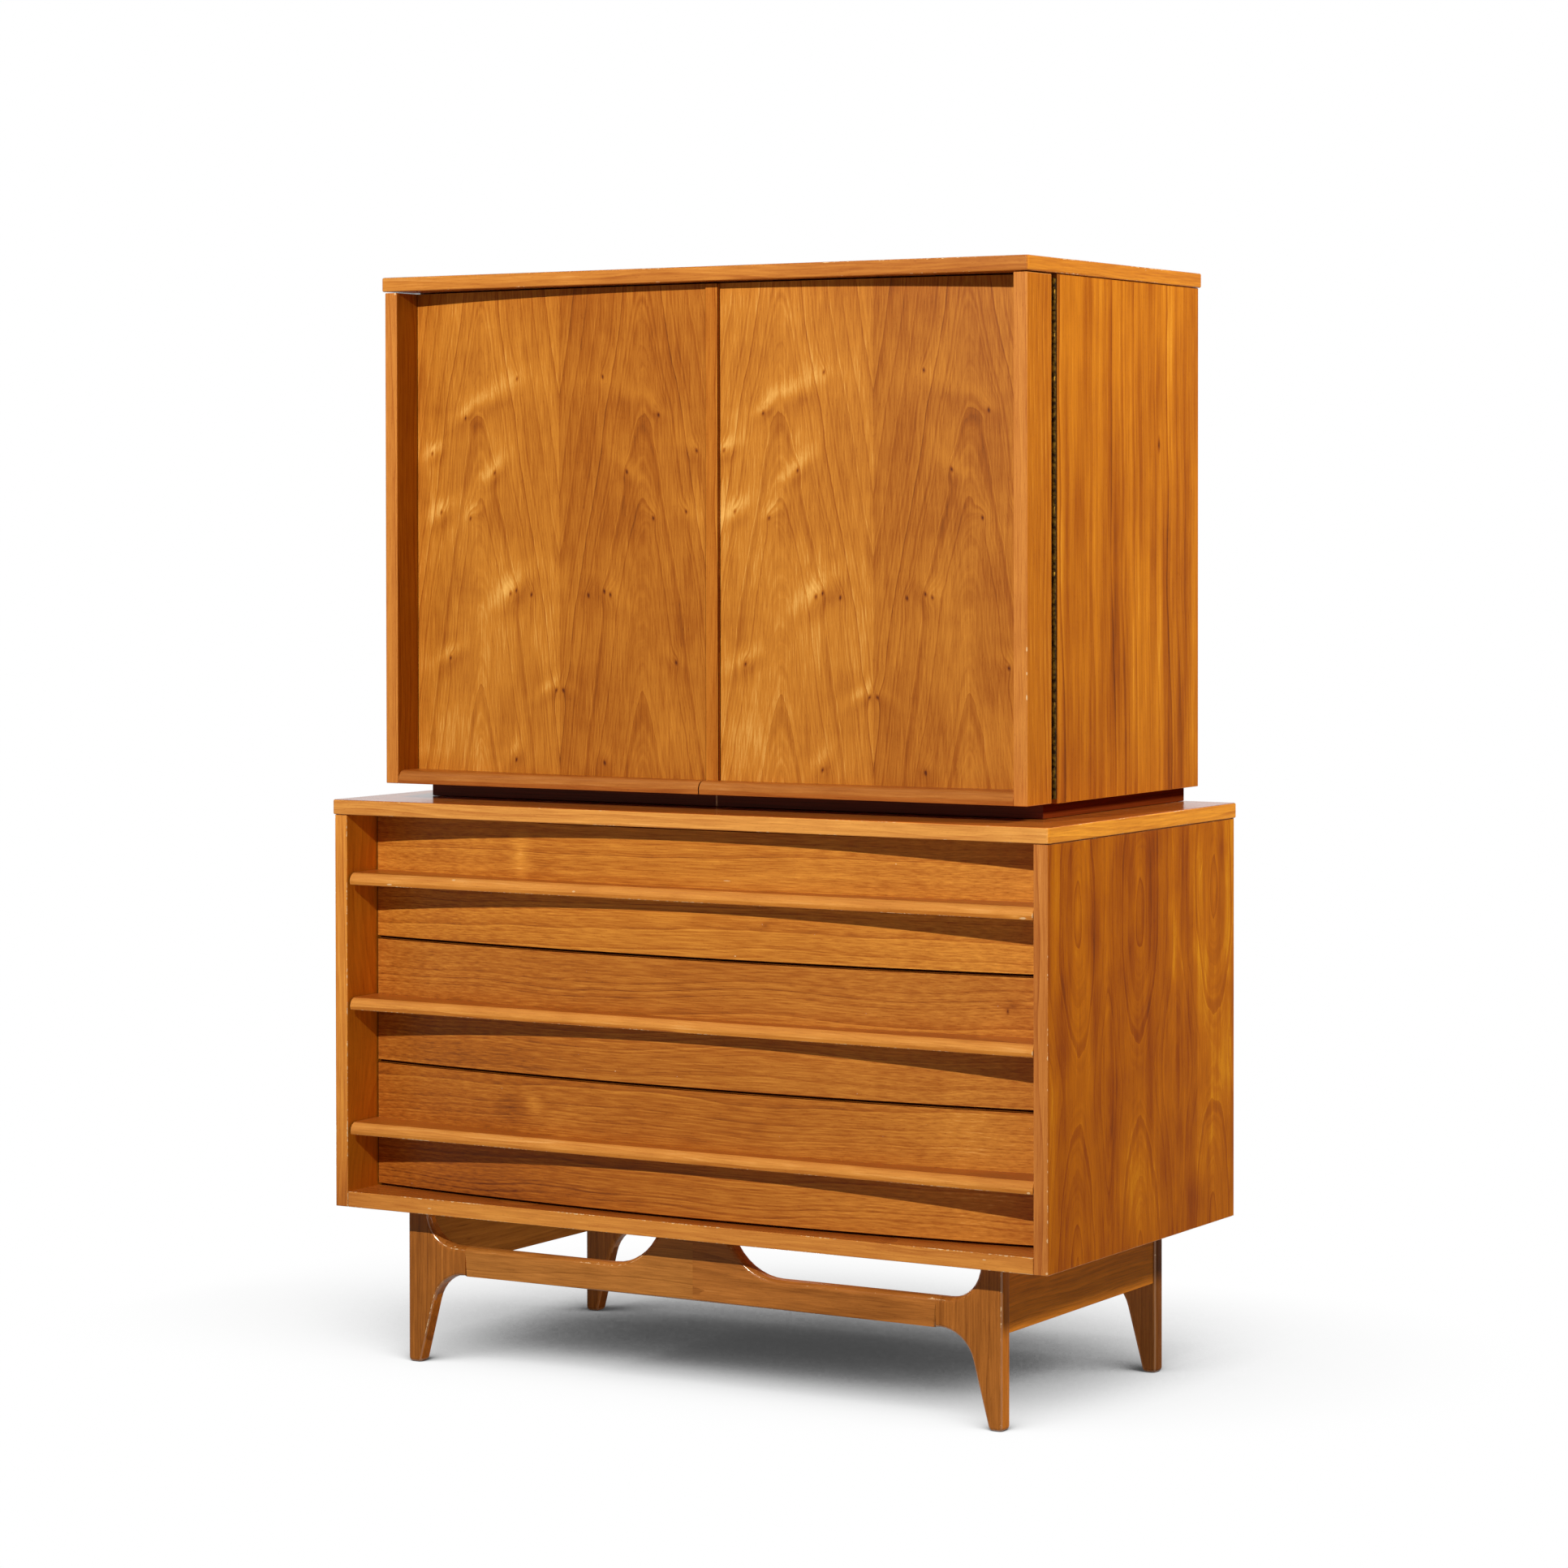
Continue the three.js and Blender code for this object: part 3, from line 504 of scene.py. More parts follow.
    colour = add_node(tree, "ValToRGB", value)
    set_stops(colour, list(zip(PALETTE_STOPS, colours)), lift)
    if worn_at:
        colour = nicked(tree, place, axes, colour, worn_at, wear, seed)
    if dust:
        lint = mottle(tree, place, [LINT_SIZE] * 3, 1.0, seed + 9)
        lint = add_node(tree, "Math", lint, 1 - dust, operation="GREATER_THAN")
        both = {UNDER: colour, OVER: linear(LINT)}
        colour = add_node(tree, "Mix", lint, inputs=both, **PAINT)
    for x, y, z, size_x, size_y, size_z in marks:
        spot = blob(tree, place, (x, y, z), (size_x, size_y, size_z))
        chips = add_node(tree, "Math", mottle(tree, place, [CHIP] * 3, 2.0), 0.55, operation="ADD")
        bare = add_node(tree, "Math", spot, chips, operation="MULTIPLY")
        bare = add_node(tree, "MapRange", bare, 0.30, 0.42, 0.0, 0.8, **EASE)
        both = {UNDER: colour, OVER: linear(RAW_WOOD)}
        colour = add_node(tree, "Mix", bare, inputs=both, **PAINT)

    relief = add_node(tree, "Math", dash, -1.0, fibres, operation="MULTIPLY_ADD")
    bump = add_node(tree, "Bump", 0.12, RELIEF, inputs={"Height": relief})
    shine = add_node(tree, "Math", fibres, 0.12, roughness - 0.06, operation="MULTIPLY_ADD")
    lacquer = {
        "Base Color": colour,
        "Roughness": shine,
        "Normal": bump,
        "Specular IOR Level": gloss,
        "Specular Tint": linear(tint),
    }
    surface = add_node(tree, "BsdfPrincipled", inputs=lacquer)
    add_node(tree, "OutputMaterial", surface)
    return material


print("palettes from dark to pale:", WALNUT, SOLID, BASE)

# %% [markdown]
# The four leaves of the doors are slices of one flitch, opened in pairs. Each knot runs through all
# of them, so one list serves both doors: distance from the seam, height, length and strength of
# its flare. The seams aren't in the middle of the doors. To the eye it is a warm brown satin with
# arches, knots and flares, a little redder and darker on the leaf that turns from the light.

# %% Door veneer
KNOTS = [
    (0.066, 1.238),
    (0.149, 1.190),
    (0.204, 1.146),
    (0.102, 1.121),
    (0.189, 1.072),
    (0.141, 1.064),
    (0.077, 0.970),
    (0.068, 0.974),
    (0.044, 0.969),
    (0.174, 0.888),
    (0.005, 0.851),
    (0.068, 0.763),
]
FLARES = [
    (0.112, 1.219, 0.110, 0.026, 25, 1.01),
    (0.150, 1.198, 0.034, 0.015, 38, 0.81),
    (0.204, 1.150, 0.040, 0.017, 30, 1.08),
    (0.108, 1.124, 0.064, 0.019, 40, 1.08),
    (0.136, 1.076, 0.036, 0.015, 35, 0.94),
    (0.190, 1.076, 0.056, 0.022, 30, 1.22),
    (0.080, 0.978, 0.085, 0.027, 36, 1.35),
    (0.176, 0.896, 0.060, 0.021, 28, 1.08),
    (0.018, 0.856, 0.048, 0.018, 35, 1.08),
    (0.072, 0.776, 0.050, 0.019, 50, 0.94),
    (0.120, 1.300, 0.080, 0.034, 20, 0.41),
]
GOLDEN_STRIPS = [
    (0.205, 1.10, 0.034, 0.34, 0, 0.12),
    (0.125, 0.80, 0.05, 0.16, 0, 0.04),
    (0.1, 0.84, WHOLE, 0.40, 0, 0.06),
]
LEFT_SEAM, RIGHT_SEAM = -0.2098, 0.2368
flitch = dict(
    hearts=(0.125,), tilt=0.17, point=0.014, sway=0.010, ripple=0.0018, ring=0.020, ring_depth=0.10,
    line=0.0030, line_depth=0.16, streak=0.07, cloud=0.22, curl=0.06, fibre=0.26, seed=3.1,
    knots=KNOTS, flares=FLARES, patches=GOLDEN_STRIPS,
)
door_veneer = {
    side: walnut(
        f"door_veneer_{side}", seam=seam, tone=tone, left_tone=0.13, right_calm=0.08, **flitch
    )
    for side, seam, tone in (("left", LEFT_SEAM, 0.40), ("right", RIGHT_SEAM, 0.43))
}
print("door leaves meet at", LEFT_SEAM, "and", RIGHT_SEAM)

# %% [markdown]
# Each drawer front is one wide leaf laid sideways and cut far from the heart, so its rings run as long
# fine lines. Most patches are where the fibres curl: a golden bar, a swirl with a dark cloud; one on each
# of the two lower fronts darkens it low on the left. One broad patch on every front is painted sheen: it
# lightens the right half, where the lamp's sheen lies on the bowed front. Each front has a tone of its
# own, and pale specks of lint lie in the film, which soften it.

# %% Drawer veneer
DRAWER_PATCHES = {
    "top": [
        (0.650, -0.247, 0.075, 0.026, 0, 0.24),
        (0.640, -0.215, 0.05, 0.05, 20, -0.10),
        (0.577, 0.111, 0.006, 0.010, 0, -0.30),
    ],
    "middle": [
        (0.450, -0.10, 0.05, 0.16, 0, 0.06),
        (0.496, 0.431, 0.016, 0.018, 0, -0.24),
        (0.4895, 0.425, 0.006, 0.0030, 0, -0.5),
        (0.390, -0.33, 0.06, 0.34, 0, -0.12),
    ],
    "bottom": [
        (0.338, -0.228, 0.028, 0.022, 30, 0.26),
        (0.322, -0.190, 0.020, 0.060, 10, 0.13),
        (0.334, -0.264, 0.026, 0.040, 0, -0.20),
        (0.225, -0.30, 0.08, 0.36, 0, -0.20),
    ],
}
DRAWER_NICKS = [
    (0.2844, -0.2117, 0.6570, 0.0022, 0.02, 0.0016),
    (0.058, -0.2240, 0.6285, 0.012, 0.02, 0.0012),
    (0.0695, -0.2233, 0.5385, 0.0030, 0.02, 0.0016),
    (-0.103, -0.2220, 0.3890, 0.0022, 0.02, 0.0016),
]
wide_leaf = dict(
    grain="X", across="Z", tilt=0.012, sway=0.010, ripple=0.0007, ring=0.013, ring_depth=0.07,
    line=0.0026, line_depth=0.13, streak=0.07, broad=0.05, cloud=0.08, fibre=0.30, dust=0.155,
    marks=DRAWER_NICKS, gloss=0.12,
)
drawer_veneer = {
    label: walnut(
        f"{label}_drawer_veneer",
        hearts=(centre,),
        # the first patch is painted sheen: it lightens each front's right half, where the lamp's sheen
        # lies
        patches=[(0.0, 0.40, WHOLE, 0.65, 0, glow)] + DRAWER_PATCHES[label],
        seed=seed,
        tone=tone,
        lift=lift,
        **wide_leaf,
    )
    for label, centre, seed, tone, glow, lift in (
        ("top", 1.20, 11.0, 0.43, 0.085, (1.28, 1.40, 1.7)),
        ("middle", 1.10, 17.0, 0.38, 0.085, (1.16, 1.24, 1.65)),
        ("bottom", 1.00, 23.0, 0.37, 0.20, (1.12, 1.16, 1.45)),
    )
}
print("drawer veneers:", list(drawer_veneer))

# %% [markdown]
# The chest's sides are cut through the heart: three nested eyes, broad bands and two short scratches. The
# cupboard's sides have straight bands. Both turn away from the key lamp and carry almost no gloss, so
# they read as a matt red brown. The chest sides' inner faces are a quieter copy, and their paleness is
# painted light, more than the grazing key lamp gives them. The tops mirror the backdrop as a cool glossy
# sheen, and their colour is lifted paler and bluer, a painted share of that reflection.

# %% Case veneers


def rims(axis, *nodes):
    """The planes in which the given nodes end, low and high, along one axis."""
    return [(axis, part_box(node)[end]["XYZ".index(axis)]) for node in nodes for end in (0, 1)]


side_figure = dict(
    across="Y", hearts=(-0.175, -0.012, 0.192), levels=(0.605, 0.20), tilt=0.30, sway=0.018,
    ripple=0.0026, ring=0.018, seed=31.0, gloss=0.02,
)
upright_veneer = walnut(
    "case_side_veneer",
    ring_depth=0.08,
    line=0.0032,
    line_depth=0.12,
    streak=0.12,
    broad=0.42,
    cloud=0.24,
    fibre=0.17,
    tone=0.48,
    patches=[
        (0.26, 0.45, 0.34, WHOLE, 0, 0.22),
        (0.157, 0.634, 0.0012, 0.016, 18, 0.6),
        (0.104, 0.520, 0.0012, 0.020, -14, 0.6),
    ],
    lift=(0.88, 0.66, 0.10),
    worn_at=rims("Z", "chest_side_left"),
    wear=0.84,
    **side_figure,
)
# painted light: the inner faces are paler than the light that reaches them makes them
inner_veneer = walnut(
    "case_inner_painted_light", ring_depth=0.04, line_depth=0.06, broad=0.06, fibre=0.12,
    lift=(1.5, 1.45, 0.75), **side_figure,
)
striped_veneer = walnut(
    "cupboard_side_veneer",
    across="Y",
    tilt=0.015,
    ring=0.03,
    ring_depth=0.10,
    line=0.006,
    line_depth=0.13,
    streak=0.17,
    broad=0.50,
    fibre=0.18,
    patches=[(0.0, 1.40, WHOLE, 0.55, 0, 0.05), (0.139, 1.153, 0.006, 0.016, 0, -0.6)],
    seed=37.0,
    gloss=0.02,
    tone=0.48,
    lift=(1.08, 0.96, 0.42),
)
# painted reflection: the tops' colour is lifted paler and bluer for the sheen on them, beside their real
# gloss
top_veneer = walnut(
    "top_veneer",
    grain="X",
    across="Y",
    tilt=0.03,
    seed=41.0,
    gloss=0.25,
    roughness=0.20,
    streak=0.07,
    ring_depth=0.12,
    tone=0.34,
    lift=(1.30, 1.25, 1.8),
    dust=0.20,
)
shelf_veneer = walnut("shelf_veneer", grain="X", across="Y", tilt=0.10, seed=42.0)
partition_veneer = walnut("partition_veneer", across="Y", hearts=(0.0,), tilt=0.10, seed=39.0)
print("veneers:", len(bpy.data.materials) - 1)

# %% [markdown]
# The boards' visible edges are solid strips of a straighter, paler walnut, and each has its own
# tone: no two boards of the piece came from the same plank. The side ones are more saturated,
# because no pale backdrop mirrors in them.

# %% Strips round the two tops


def strip(name, colours=SOLID, grain="X", across="Z", **settings):
    """Solid walnut cut along straight grain, so its rings are faint and parallel."""
    straight = dict(tilt=0.01, ring_depth=0.09, line_depth=0.08)
    return walnut(name, colours, grain, across, **straight, **settings)


chest_rims, cupboard_rims = rims("Z", "chest_top"), rims("Z", "cupboard_top")
end_strip = dict(grain="Y", gloss=0.03)
slab_strips = {
    "chest_top": [
        strip(
            "chest_slab_front",
            seed=44.0,
            gloss=0.12,
            lift=(1.28, 1.40, 1.75),
            worn_at=chest_rims,
            patches=[(0.70, 0.55, WHOLE, 0.8, 0, 0.10)],
        ),
        strip("chest_slab_side", seed=45.0, lift=(1.48, 1.50, 0.85), worn_at=chest_rims, **end_strip),
    ],
    "cupboard_top": [
        strip(
            "cupboard_slab_front",
            seed=46.0,
            gloss=0.12,
            tone=0.43,
            lift=(0.97, 0.90, 0.84),
            worn_at=cupboard_rims,
            patches=[(1.36, -0.5, WHOLE, 0.9, 0, 0.28)],
        ),
        strip(
            "cupboard_slab_side", seed=45.5, lift=(1.15, 1.05, 0.55), worn_at=cupboard_rims, **end_strip
        ),
    ],
}
print("strips round the tops:", [m.name for m in bpy.data.materials if "slab" in m.name])

# %% [markdown]
# The door stiles, the case's front edges and the bottom rail are solid too. Their fronts catch the key
# lamp and look pale and plain, with a few nicks where feet and drawers hit them. The stiles' inner and
# outer faces are darker and redder, and the inner faces are a darker copy still: painted shade.

# %% Stiles, front edges and bottom rail
along_x = strip("solid_walnut_along_x", seed=43.0, gloss=0.15)
upright = dict(grain="Z", across="X", gloss=0.12)
along_z = strip("solid_walnut_along_z", seed=47.0, **upright)
case_rims = rims("X", "chest_side_left", "chest_side_right")
STILE_NICKS = [
    (-0.4409, -0.2083, 1.3475, 0.004, 0.012, 0.005),
    (0.4560, -0.2083, 0.912, 0.002, 0.012, 0.006),
    (0.4560, -0.2083, 0.884, 0.0016, 0.012, 0.004),
    (0.4560, -0.2083, 0.856, 0.002, 0.012, 0.007),
]
stile_front = strip("stile_front", seed=48.0, lift=(1.1, 1.05, 1.1), marks=STILE_NICKS, **upright)
deep_face = dict(colours=WALNUT, grain="Z", across="Y", gloss=0.02)
stile_side = strip("stile_side", seed=49.0, lift=(0.95, 0.8, 0.4), tone=0.58, **deep_face)
# painted shade: the stiles' inner faces are a darker copy, as they lie in shade
stile_inner = strip("stile_inner", seed=49.5, lift=(0.80, 0.70, 0.3), tone=0.54, **deep_face)
CASE_NICKS = [
    (0.5053, -0.2513, 0.2365, 0.003, 0.012, 0.006),
    (0.5045, -0.2513, 0.199, 0.004, 0.012, 0.003),
]
case_front = {
    "left": strip(
        "case_front_left",
        seed=50.0,
        lift=(1.3, 1.3, 1.3),
        worn_at=case_rims,
        patches=[(-0.49, 0.19, WHOLE, 0.16, 0, -0.30)],
        **upright,
    ),
    "right": strip(
        "case_front_right",
        seed=50.5,
        lift=(1.0, 0.9, 1.05),
        worn_at=case_rims,
        wear=0.87,
        marks=CASE_NICKS,
        **upright,
    ),
}
RAIL_NICKS = [
    (-0.361, -0.2513, 0.2040, 0.006, 0.012, 0.0016),
    (0.375, -0.2513, 0.2150, 0.005, 0.012, 0.0016),
    (0.423, -0.2513, 0.2080, 0.005, 0.012, 0.0016),
    (0.4515, -0.2513, 0.2150, 0.006, 0.012, 0.0018),
    (0.477, -0.2513, 0.1960, 0.030, 0.012, 0.0022),
]
rail_front = strip(
    "bottom_rail",
    seed=51.0,
    gloss=0.12,
    lift=(1.2, 1.2, 1.3),
    worn_at=rims("Z", "chest_floor"),
    marks=RAIL_NICKS,
    patches=[(0.2, -0.50, WHOLE, 0.10, 0, -0.14), (0.2, -0.22, WHOLE, 0.40, 0, 0.09)],
)
rail_top = strip(
    "bottom_rail_top", seed=51.0, gloss=0.30, roughness=0.25, tone=0.40, lift=(0.9, 0.72, 0.6)
)
meeting_wood = strip(
    "meeting_strip", WALNUT, "Z", "X", seed=52.0, gloss=0.08, lift=(1.05, 1.0, 1.0), tone=0.50
)
print("nicks drawn by hand:", len(STILE_NICKS + CASE_NICKS + RAIL_NICKS + DRAWER_NICKS))

# %% [markdown]
# Fingers go to the lips, so their lacquer is the glossiest of the case and warm. Their upper rounding is
# a paler copy with the same nicks, and its paleness is a painted highlight where it turns up to the lamp.
# The flat top behind it is a darker copy, painted shade. End grain drinks the finish and turns dark, and
# the lips' ends are painted almost black with the shade of the narrow gap at the case sides. The hidden
# edges that face a gap are painted almost black too, with the shade of the gap.

# %% Finger lips
lip_rims = [("Z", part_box(f"{label}_drawer_lip")[0][2]) for label in ("bottom", "middle", "top")]
LIP_OVALS = [
    (0.6110, 0.312, 0.005, 0.020, 0, 0.50),
    (0.6105, 0.355, 0.006, 0.026, 0, 0.52),
    (0.6070, 0.462, 0.012, 0.022, 0, 0.30),
    (0.6070, 0.42, 0.03, 0.16, 0, -0.16),
    (0.6135, -0.183, 0.0024, 0.0030, 0, -0.8),
    (0.6125, 0.181, 0.0030, 0.0042, 0, -0.9),
    (0.6130, 0.241, 0.0026, 0.0036, 0, -0.8),
]
LIP_NICKS = [
    (-0.327, -0.2475, 0.6150, 0.007, 0.012, 0.0024),
    (-0.146, -0.2488, 0.6087, 0.005, 0.012, 0.0024),
    (-0.423, -0.2488, 0.6055, 0.009, 0.012, 0.0022),
    (0.4720, -0.2480, 0.6045, 0.010, 0.012, 0.0030),
    (0.4842, -0.2480, 0.6080, 0.0016, 0.012, 0.0070),
    (0.4842, -0.2480, 0.4500, 0.0016, 0.012, 0.0060),
    (0.4790, -0.2480, 0.2890, 0.0050, 0.012, 0.0030),
    (-0.342, -0.2488, 0.3010, 0.007, 0.012, 0.0022),
    (-0.306, -0.2475, 0.3020, 0.004, 0.012, 0.0022),
    (-0.227, -0.2488, 0.3005, 0.010, 0.012, 0.0020),
    (-0.155, -0.2488, 0.3010, 0.008, 0.012, 0.0022),
]
lip_figure = dict(cloud=0.16, streak=0.05, gloss=0.3, roughness=0.30, tint="#ffb870")
lip_wood = strip(
    "lip_face",
    seed=67.0,
    lift=(1.05, 1.0, 0.92),
    worn_at=lip_rims,
    patches=LIP_OVALS,
    marks=LIP_NICKS,
    **lip_figure,
)
# painted highlight: the upper rounding is paler, as it turns up to the lamp; the nicks on it are real
lip_worn = strip(
    "lip_upper_rounding", seed=67.0, tone=0.60, lift=(1.12, 1.12, 1.3), marks=LIP_NICKS, **lip_figure
)
# painted shade: the lips' flat top is darker, as it lies in the shade at the panel
lip_top = strip("lip_top", seed=67.0, tone=0.36, lift=(0.9, 0.75, 0.6), **lip_figure)
door_lip_wood = strip("door_lip", seed=68.0, lift=(0.74, 0.59, 0.62), **lip_figure)
# painted highlight: the door lips' upper rounding is paler too
door_lip_worn = strip("door_lip_rounding", seed=68.0, tone=0.58, lift=(0.72, 0.62, 0.72), **lip_figure)
# end grain is dark, and its near black is painted shade of the narrow gap at the case sides
lip_end = strip(
    "lip_end_grain_and_shade", grain="Y", across="Z", seed=69.0, gloss=0.05, tone=0.25, lift=(0.22, 0.14, 0.10)
)
# painted shade: the fronts' bevelled edges are nearly black, as the gaps round them are dark
gap_edge = strip("gap_edge_painted_shade", seed=70.0, gloss=0.0, tone=0.12, fibre=0.1, lift=(0.22, 0.13, 0.12))
print("lip bottoms at", [round(z, 4) for _, z in lip_rims])

# %% [markdown]
# The leg frame was rounded by hand and rubbed with more lacquer, so its roundings are glossier than its
# flat faces, and the lamp draws bright lines along them. The faces that look sideways carry almost no
# gloss: there the light tent was dark. Their colour is a copy of its own, made lighter on the front legs
# with painted light and darker on the rear legs with painted shade. The wood is a cooler, greyer brown
# than the cases.

# %% Leg frame walnut
FRAME_FRONT = -0.2095


def frame_walnut(name, flat_lift, side_lift, **figure):
    """Three finishes of one piece of wood: flat faces, roundings and faces that look sideways, whose own
    lift paints light on some legs and shade on others.
    """
    usual = dict(colours=BASE, streak=0.08, ring_depth=0.08, line_depth=0.13, fibre=0.30, cloud=0.17)
    figure = {**usual, **figure}
    rubbed = dict(gloss=0.95, roughness=0.18, tint="#ffe4cc")
    worn = dict(worn_at=[("Y", FRAME_FRONT)], wear=0.76)
    return [
        walnut(f"{name}_flat", gloss=0.12, roughness=0.34, lift=flat_lift, **figure),
        walnut(f"{name}_rounded", lift=flat_lift, **rubbed, **worn, **figure),
        # painted light and shade: the sideways copy takes its own lift, lighter on the front legs and
        # darker on the rear legs
        walnut(f"{name}_sideways", gloss=0.02, roughness=0.40, lift=side_lift, **figure),
    ]


leg_wood = {
    "front": frame_walnut("front_leg", (1.25, 1.0, 0.66), (1.8, 1.35, 0.65), hearts=(0.9,), seed=61.0),
    "rear": frame_walnut("rear_leg", (1.2, 1.08, 0.92), (0.76, 0.56, 0.36), hearts=(0.9,), seed=63.0),
}
base_rail = {
    "left": frame_walnut(
        "left_rail", (1.55, 1.42, 1.2), (1.5, 1.3, 0.9), grain="X", across="Z", tilt=0.02,
        hearts=(0.6,), seed=53.0,
    ),
    "right": frame_walnut(
        "right_rail", (1.32, 1.10, 0.84), (1.3, 1.1, 0.7), grain="X", across="Z", tilt=0.05,
        hearts=(0.13,), sway=0.014, ripple=0.002, cloud=0.18, seed=55.0,
    ),
}
print("leg frame finishes:", sum(map(len, [*leg_wood.values(), *base_rail.values()])))

# %% [markdown]
# The side aprons are the same brown wood with a quiet figure, in a lit and a shaded copy. Outside it is
# painted a light orange, light that the case's overhang keeps from the side lamp, and the cleats share
# that copy. Inside it is the duller, shaded copy, and two dark saw marks were never planed away.

# %% Apron walnut
SAW_MARKS = [(0.161, -0.121, 0.0012, 0.030, 0, -0.5), (0.142, -0.107, 0.0012, 0.014, 0, -0.5)]
apron_figure = dict(
    colours=BASE, grain="Y", across="Z", seed=59.0, gloss=0.02, streak=0.05, ring_depth=0.05, fibre=0.22
)
# painted light: the aprons' outer copy is lighter, as the case's overhang shades them from the side lamp
apron_wood = walnut("apron_walnut_painted_light", lift=(2.7, 2.1, 0.80), **apron_figure)
# the shaded copy, for the inner faces; its saw marks are real
apron_inner = walnut("apron_inner_walnut", lift=(1.05, 0.95, 0.60), patches=SAW_MARKS, **apron_figure)
print("walnut finishes:", len(bpy.data.materials) - 1)

# %% [markdown]
# ## Easing the corners
# A real board has no knife-sharp corner: sandpaper and sixty years of hands have rounded it, and there
# the lacquer has worn through to paler wood. Each solid is copied, its loose triangles are merged, flat
# faces are made whole again, and the corners are bevelled. The bevel's new faces get the second material,
# so wear follows every corner by itself. On the drawer fronts, door panels and meeting strip that
# material is painted shade instead, the dark of the gaps round them.

# %% Dress a solid
FLAT_ANGLE, CORNER_ANGLE, CREASE_ANGLE, EASE_STEPS = radians(0.1), radians(30), radians(50), 2


def dress(node, finish, worn=None, ease=0.0007, others=(), choose=None):
    """A copy of a CAD node with eased corners, which stands for the node and rides with it. `ease` is the
    rounding's width in metres, and `choose` picks the finish of each flat face. The bevel's finish shows
    wear on most pieces, and on the fronts and the meeting strip it is painted shade of the gaps."""
    solid = frame["nodes"][node]
    shape = bmesh.new()
    shape.from_mesh(solid.data)
    bmesh.ops.remove_doubles(shape, verts=shape.verts, dist=1e-6)
    parts = dict(verts=shape.verts, edges=shape.edges)
    bmesh.ops.dissolve_limit(shape, angle_limit=FLAT_ANGLE, use_dissolve_boundaries=False, **parts)
    if ease:
        corners = [e for e in shape.edges if e.is_manifold and e.calc_face_angle() > CORNER_ANGLE]
        bmesh.ops.bevel(
            shape,
            geom=corners,
            offset=ease,
            offset_type="OFFSET",
            affect="EDGES",
            segments=EASE_STEPS,
            profile=0.5,
            material=1 if worn else -1,
            clamp_overlap=True,
        )
    for face in shape.faces:
        face.smooth = True
        if choose and face.material_index == 0:
            face.material_index = choose(face)
    mesh = bpy.data.meshes.new(f"{node}.dressed")
    shape.to_mesh(mesh)
    shape.free()
    for material in [finish, worn or finish, *others]:
        mesh.materials.append(material)
    mesh.set_sharp_from_angle(angle=CREASE_ANGLE)
    piece = bpy.data.objects.new(f"{node}.dressed", mesh)
    bpy.context.scene.collection.objects.link(piece)
    piece.modifiers.new("even shading", "WEIGHTED_NORMAL").keep_sharp = True
    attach(piece, solid["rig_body"])
    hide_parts(node)


# %% [markdown]
# Inside the case the maker used paler and cheaper woods: poplar for the drawers' sides and birch plywood
# for their bottoms and the backs, thinly sealed. The plinth is stained nearly black, and the pale glue
# joint in the middle of its front shows how thin the stain is. The stain's colours on its front and the
# joint are painted lighter, for the light that the cupboard's shadow keeps from them.

# %% Secondary woods and plinth
LONG_FIBRE, FINE_FIBRE = 0.12, 0.002
# the joint's colour is its pale glue, painted lighter still as it lies in shade
JOINT_CORE, JOINT_EDGE, JOINT_COLOUR = 0.0006, 0.0016, "#ffe2b4"
PLINTH_JOINT = -0.0119


def plain_wood(name, light, dark, grain, roughness=0.6, gloss=0.2, tint="#ffffff", joints=()):
    """A quiet wood: fibres along the grain between two colours, and pale joints at some X."""
    material, tree = blank_material(name)
    place = add_node(tree, "TexCoord", out="Object")
    long_way = [LONG_FIBRE if axis == grain else FINE_FIBRE for axis in "XYZ"]
    fibres = mottle(tree, place, long_way, 4.0)
    broad = mottle(tree, place, [4 * s for s in long_way], 2.0, 3.0)
    value = add_node(tree, "Math", fibres, 0.5, operation="MULTIPLY")
    value = add_node(tree, "Math", broad, 0.5, value, operation="MULTIPLY_ADD")
    colour = add_node(tree, "ValToRGB", value)
    set_stops(colour, [(0.3, dark), (0.7, light)])
    across = add_node(tree, "SeparateXYZ", place, out="X")
    for joint in joints:
        away = nearest(tree, [(across, joint)])
        glue = add_node(tree, "MapRange", away, JOINT_CORE, JOINT_EDGE, 1.0, 0.0, **EASE)
        both = {UNDER: colour, OVER: linear(JOINT_COLOUR)}
        colour = add_node(tree, "Mix", glue, inputs=both, **PAINT)
    bump = add_node(tree, "Bump", 0.2, RELIEF, inputs={"Height": fibres})
    sealed = {
        "Base Color": colour,
        "Roughness": roughness,
        "Normal": bump,
        "Specular IOR Level": gloss,
        "Specular Tint": linear(tint),
    }
    surface = add_node(tree, "BsdfPrincipled", inputs=sealed)
    add_node(tree, "OutputMaterial", surface)
    return material


# Planed poplar under a thin seal: pale, even and matt.
poplar_x = plain_wood("drawer_poplar_along_x", "#dcb987", "#c09560", "X")
poplar_y = plain_wood("drawer_poplar_along_y", "#dcb987", "#c09560", "Y")
# Birch plywood left nearly raw: a little yellower and the roughest of all.
birch_ply_x = plain_wood("birch_plywood_along_x", "#d3ad78", "#b98c55", "X", 0.7)
birch_ply_z = plain_wood("birch_plywood_along_z", "#b88d57", "#9a703f", "Z", 0.75)
# Stained and lacquered boards: a red-black satin in front, a matt brown where no light mirrors. The
# front's colours and its joint are lightened with painted light, as the plinth lies in the cupboard's
# shadow.
plinth_front = plain_wood(
    "plinth_stained_black_painted_lighter", "#803f30", "#4a261f", "X", 0.35, 0.4, "#d08060", joints=[PLINTH_JOINT]
)
plinth_side = plain_wood("plinth_stained_brown", "#823210", "#502208", "Y", 0.5, 0.0)
print("plinth joint at X", PLINTH_JOINT)

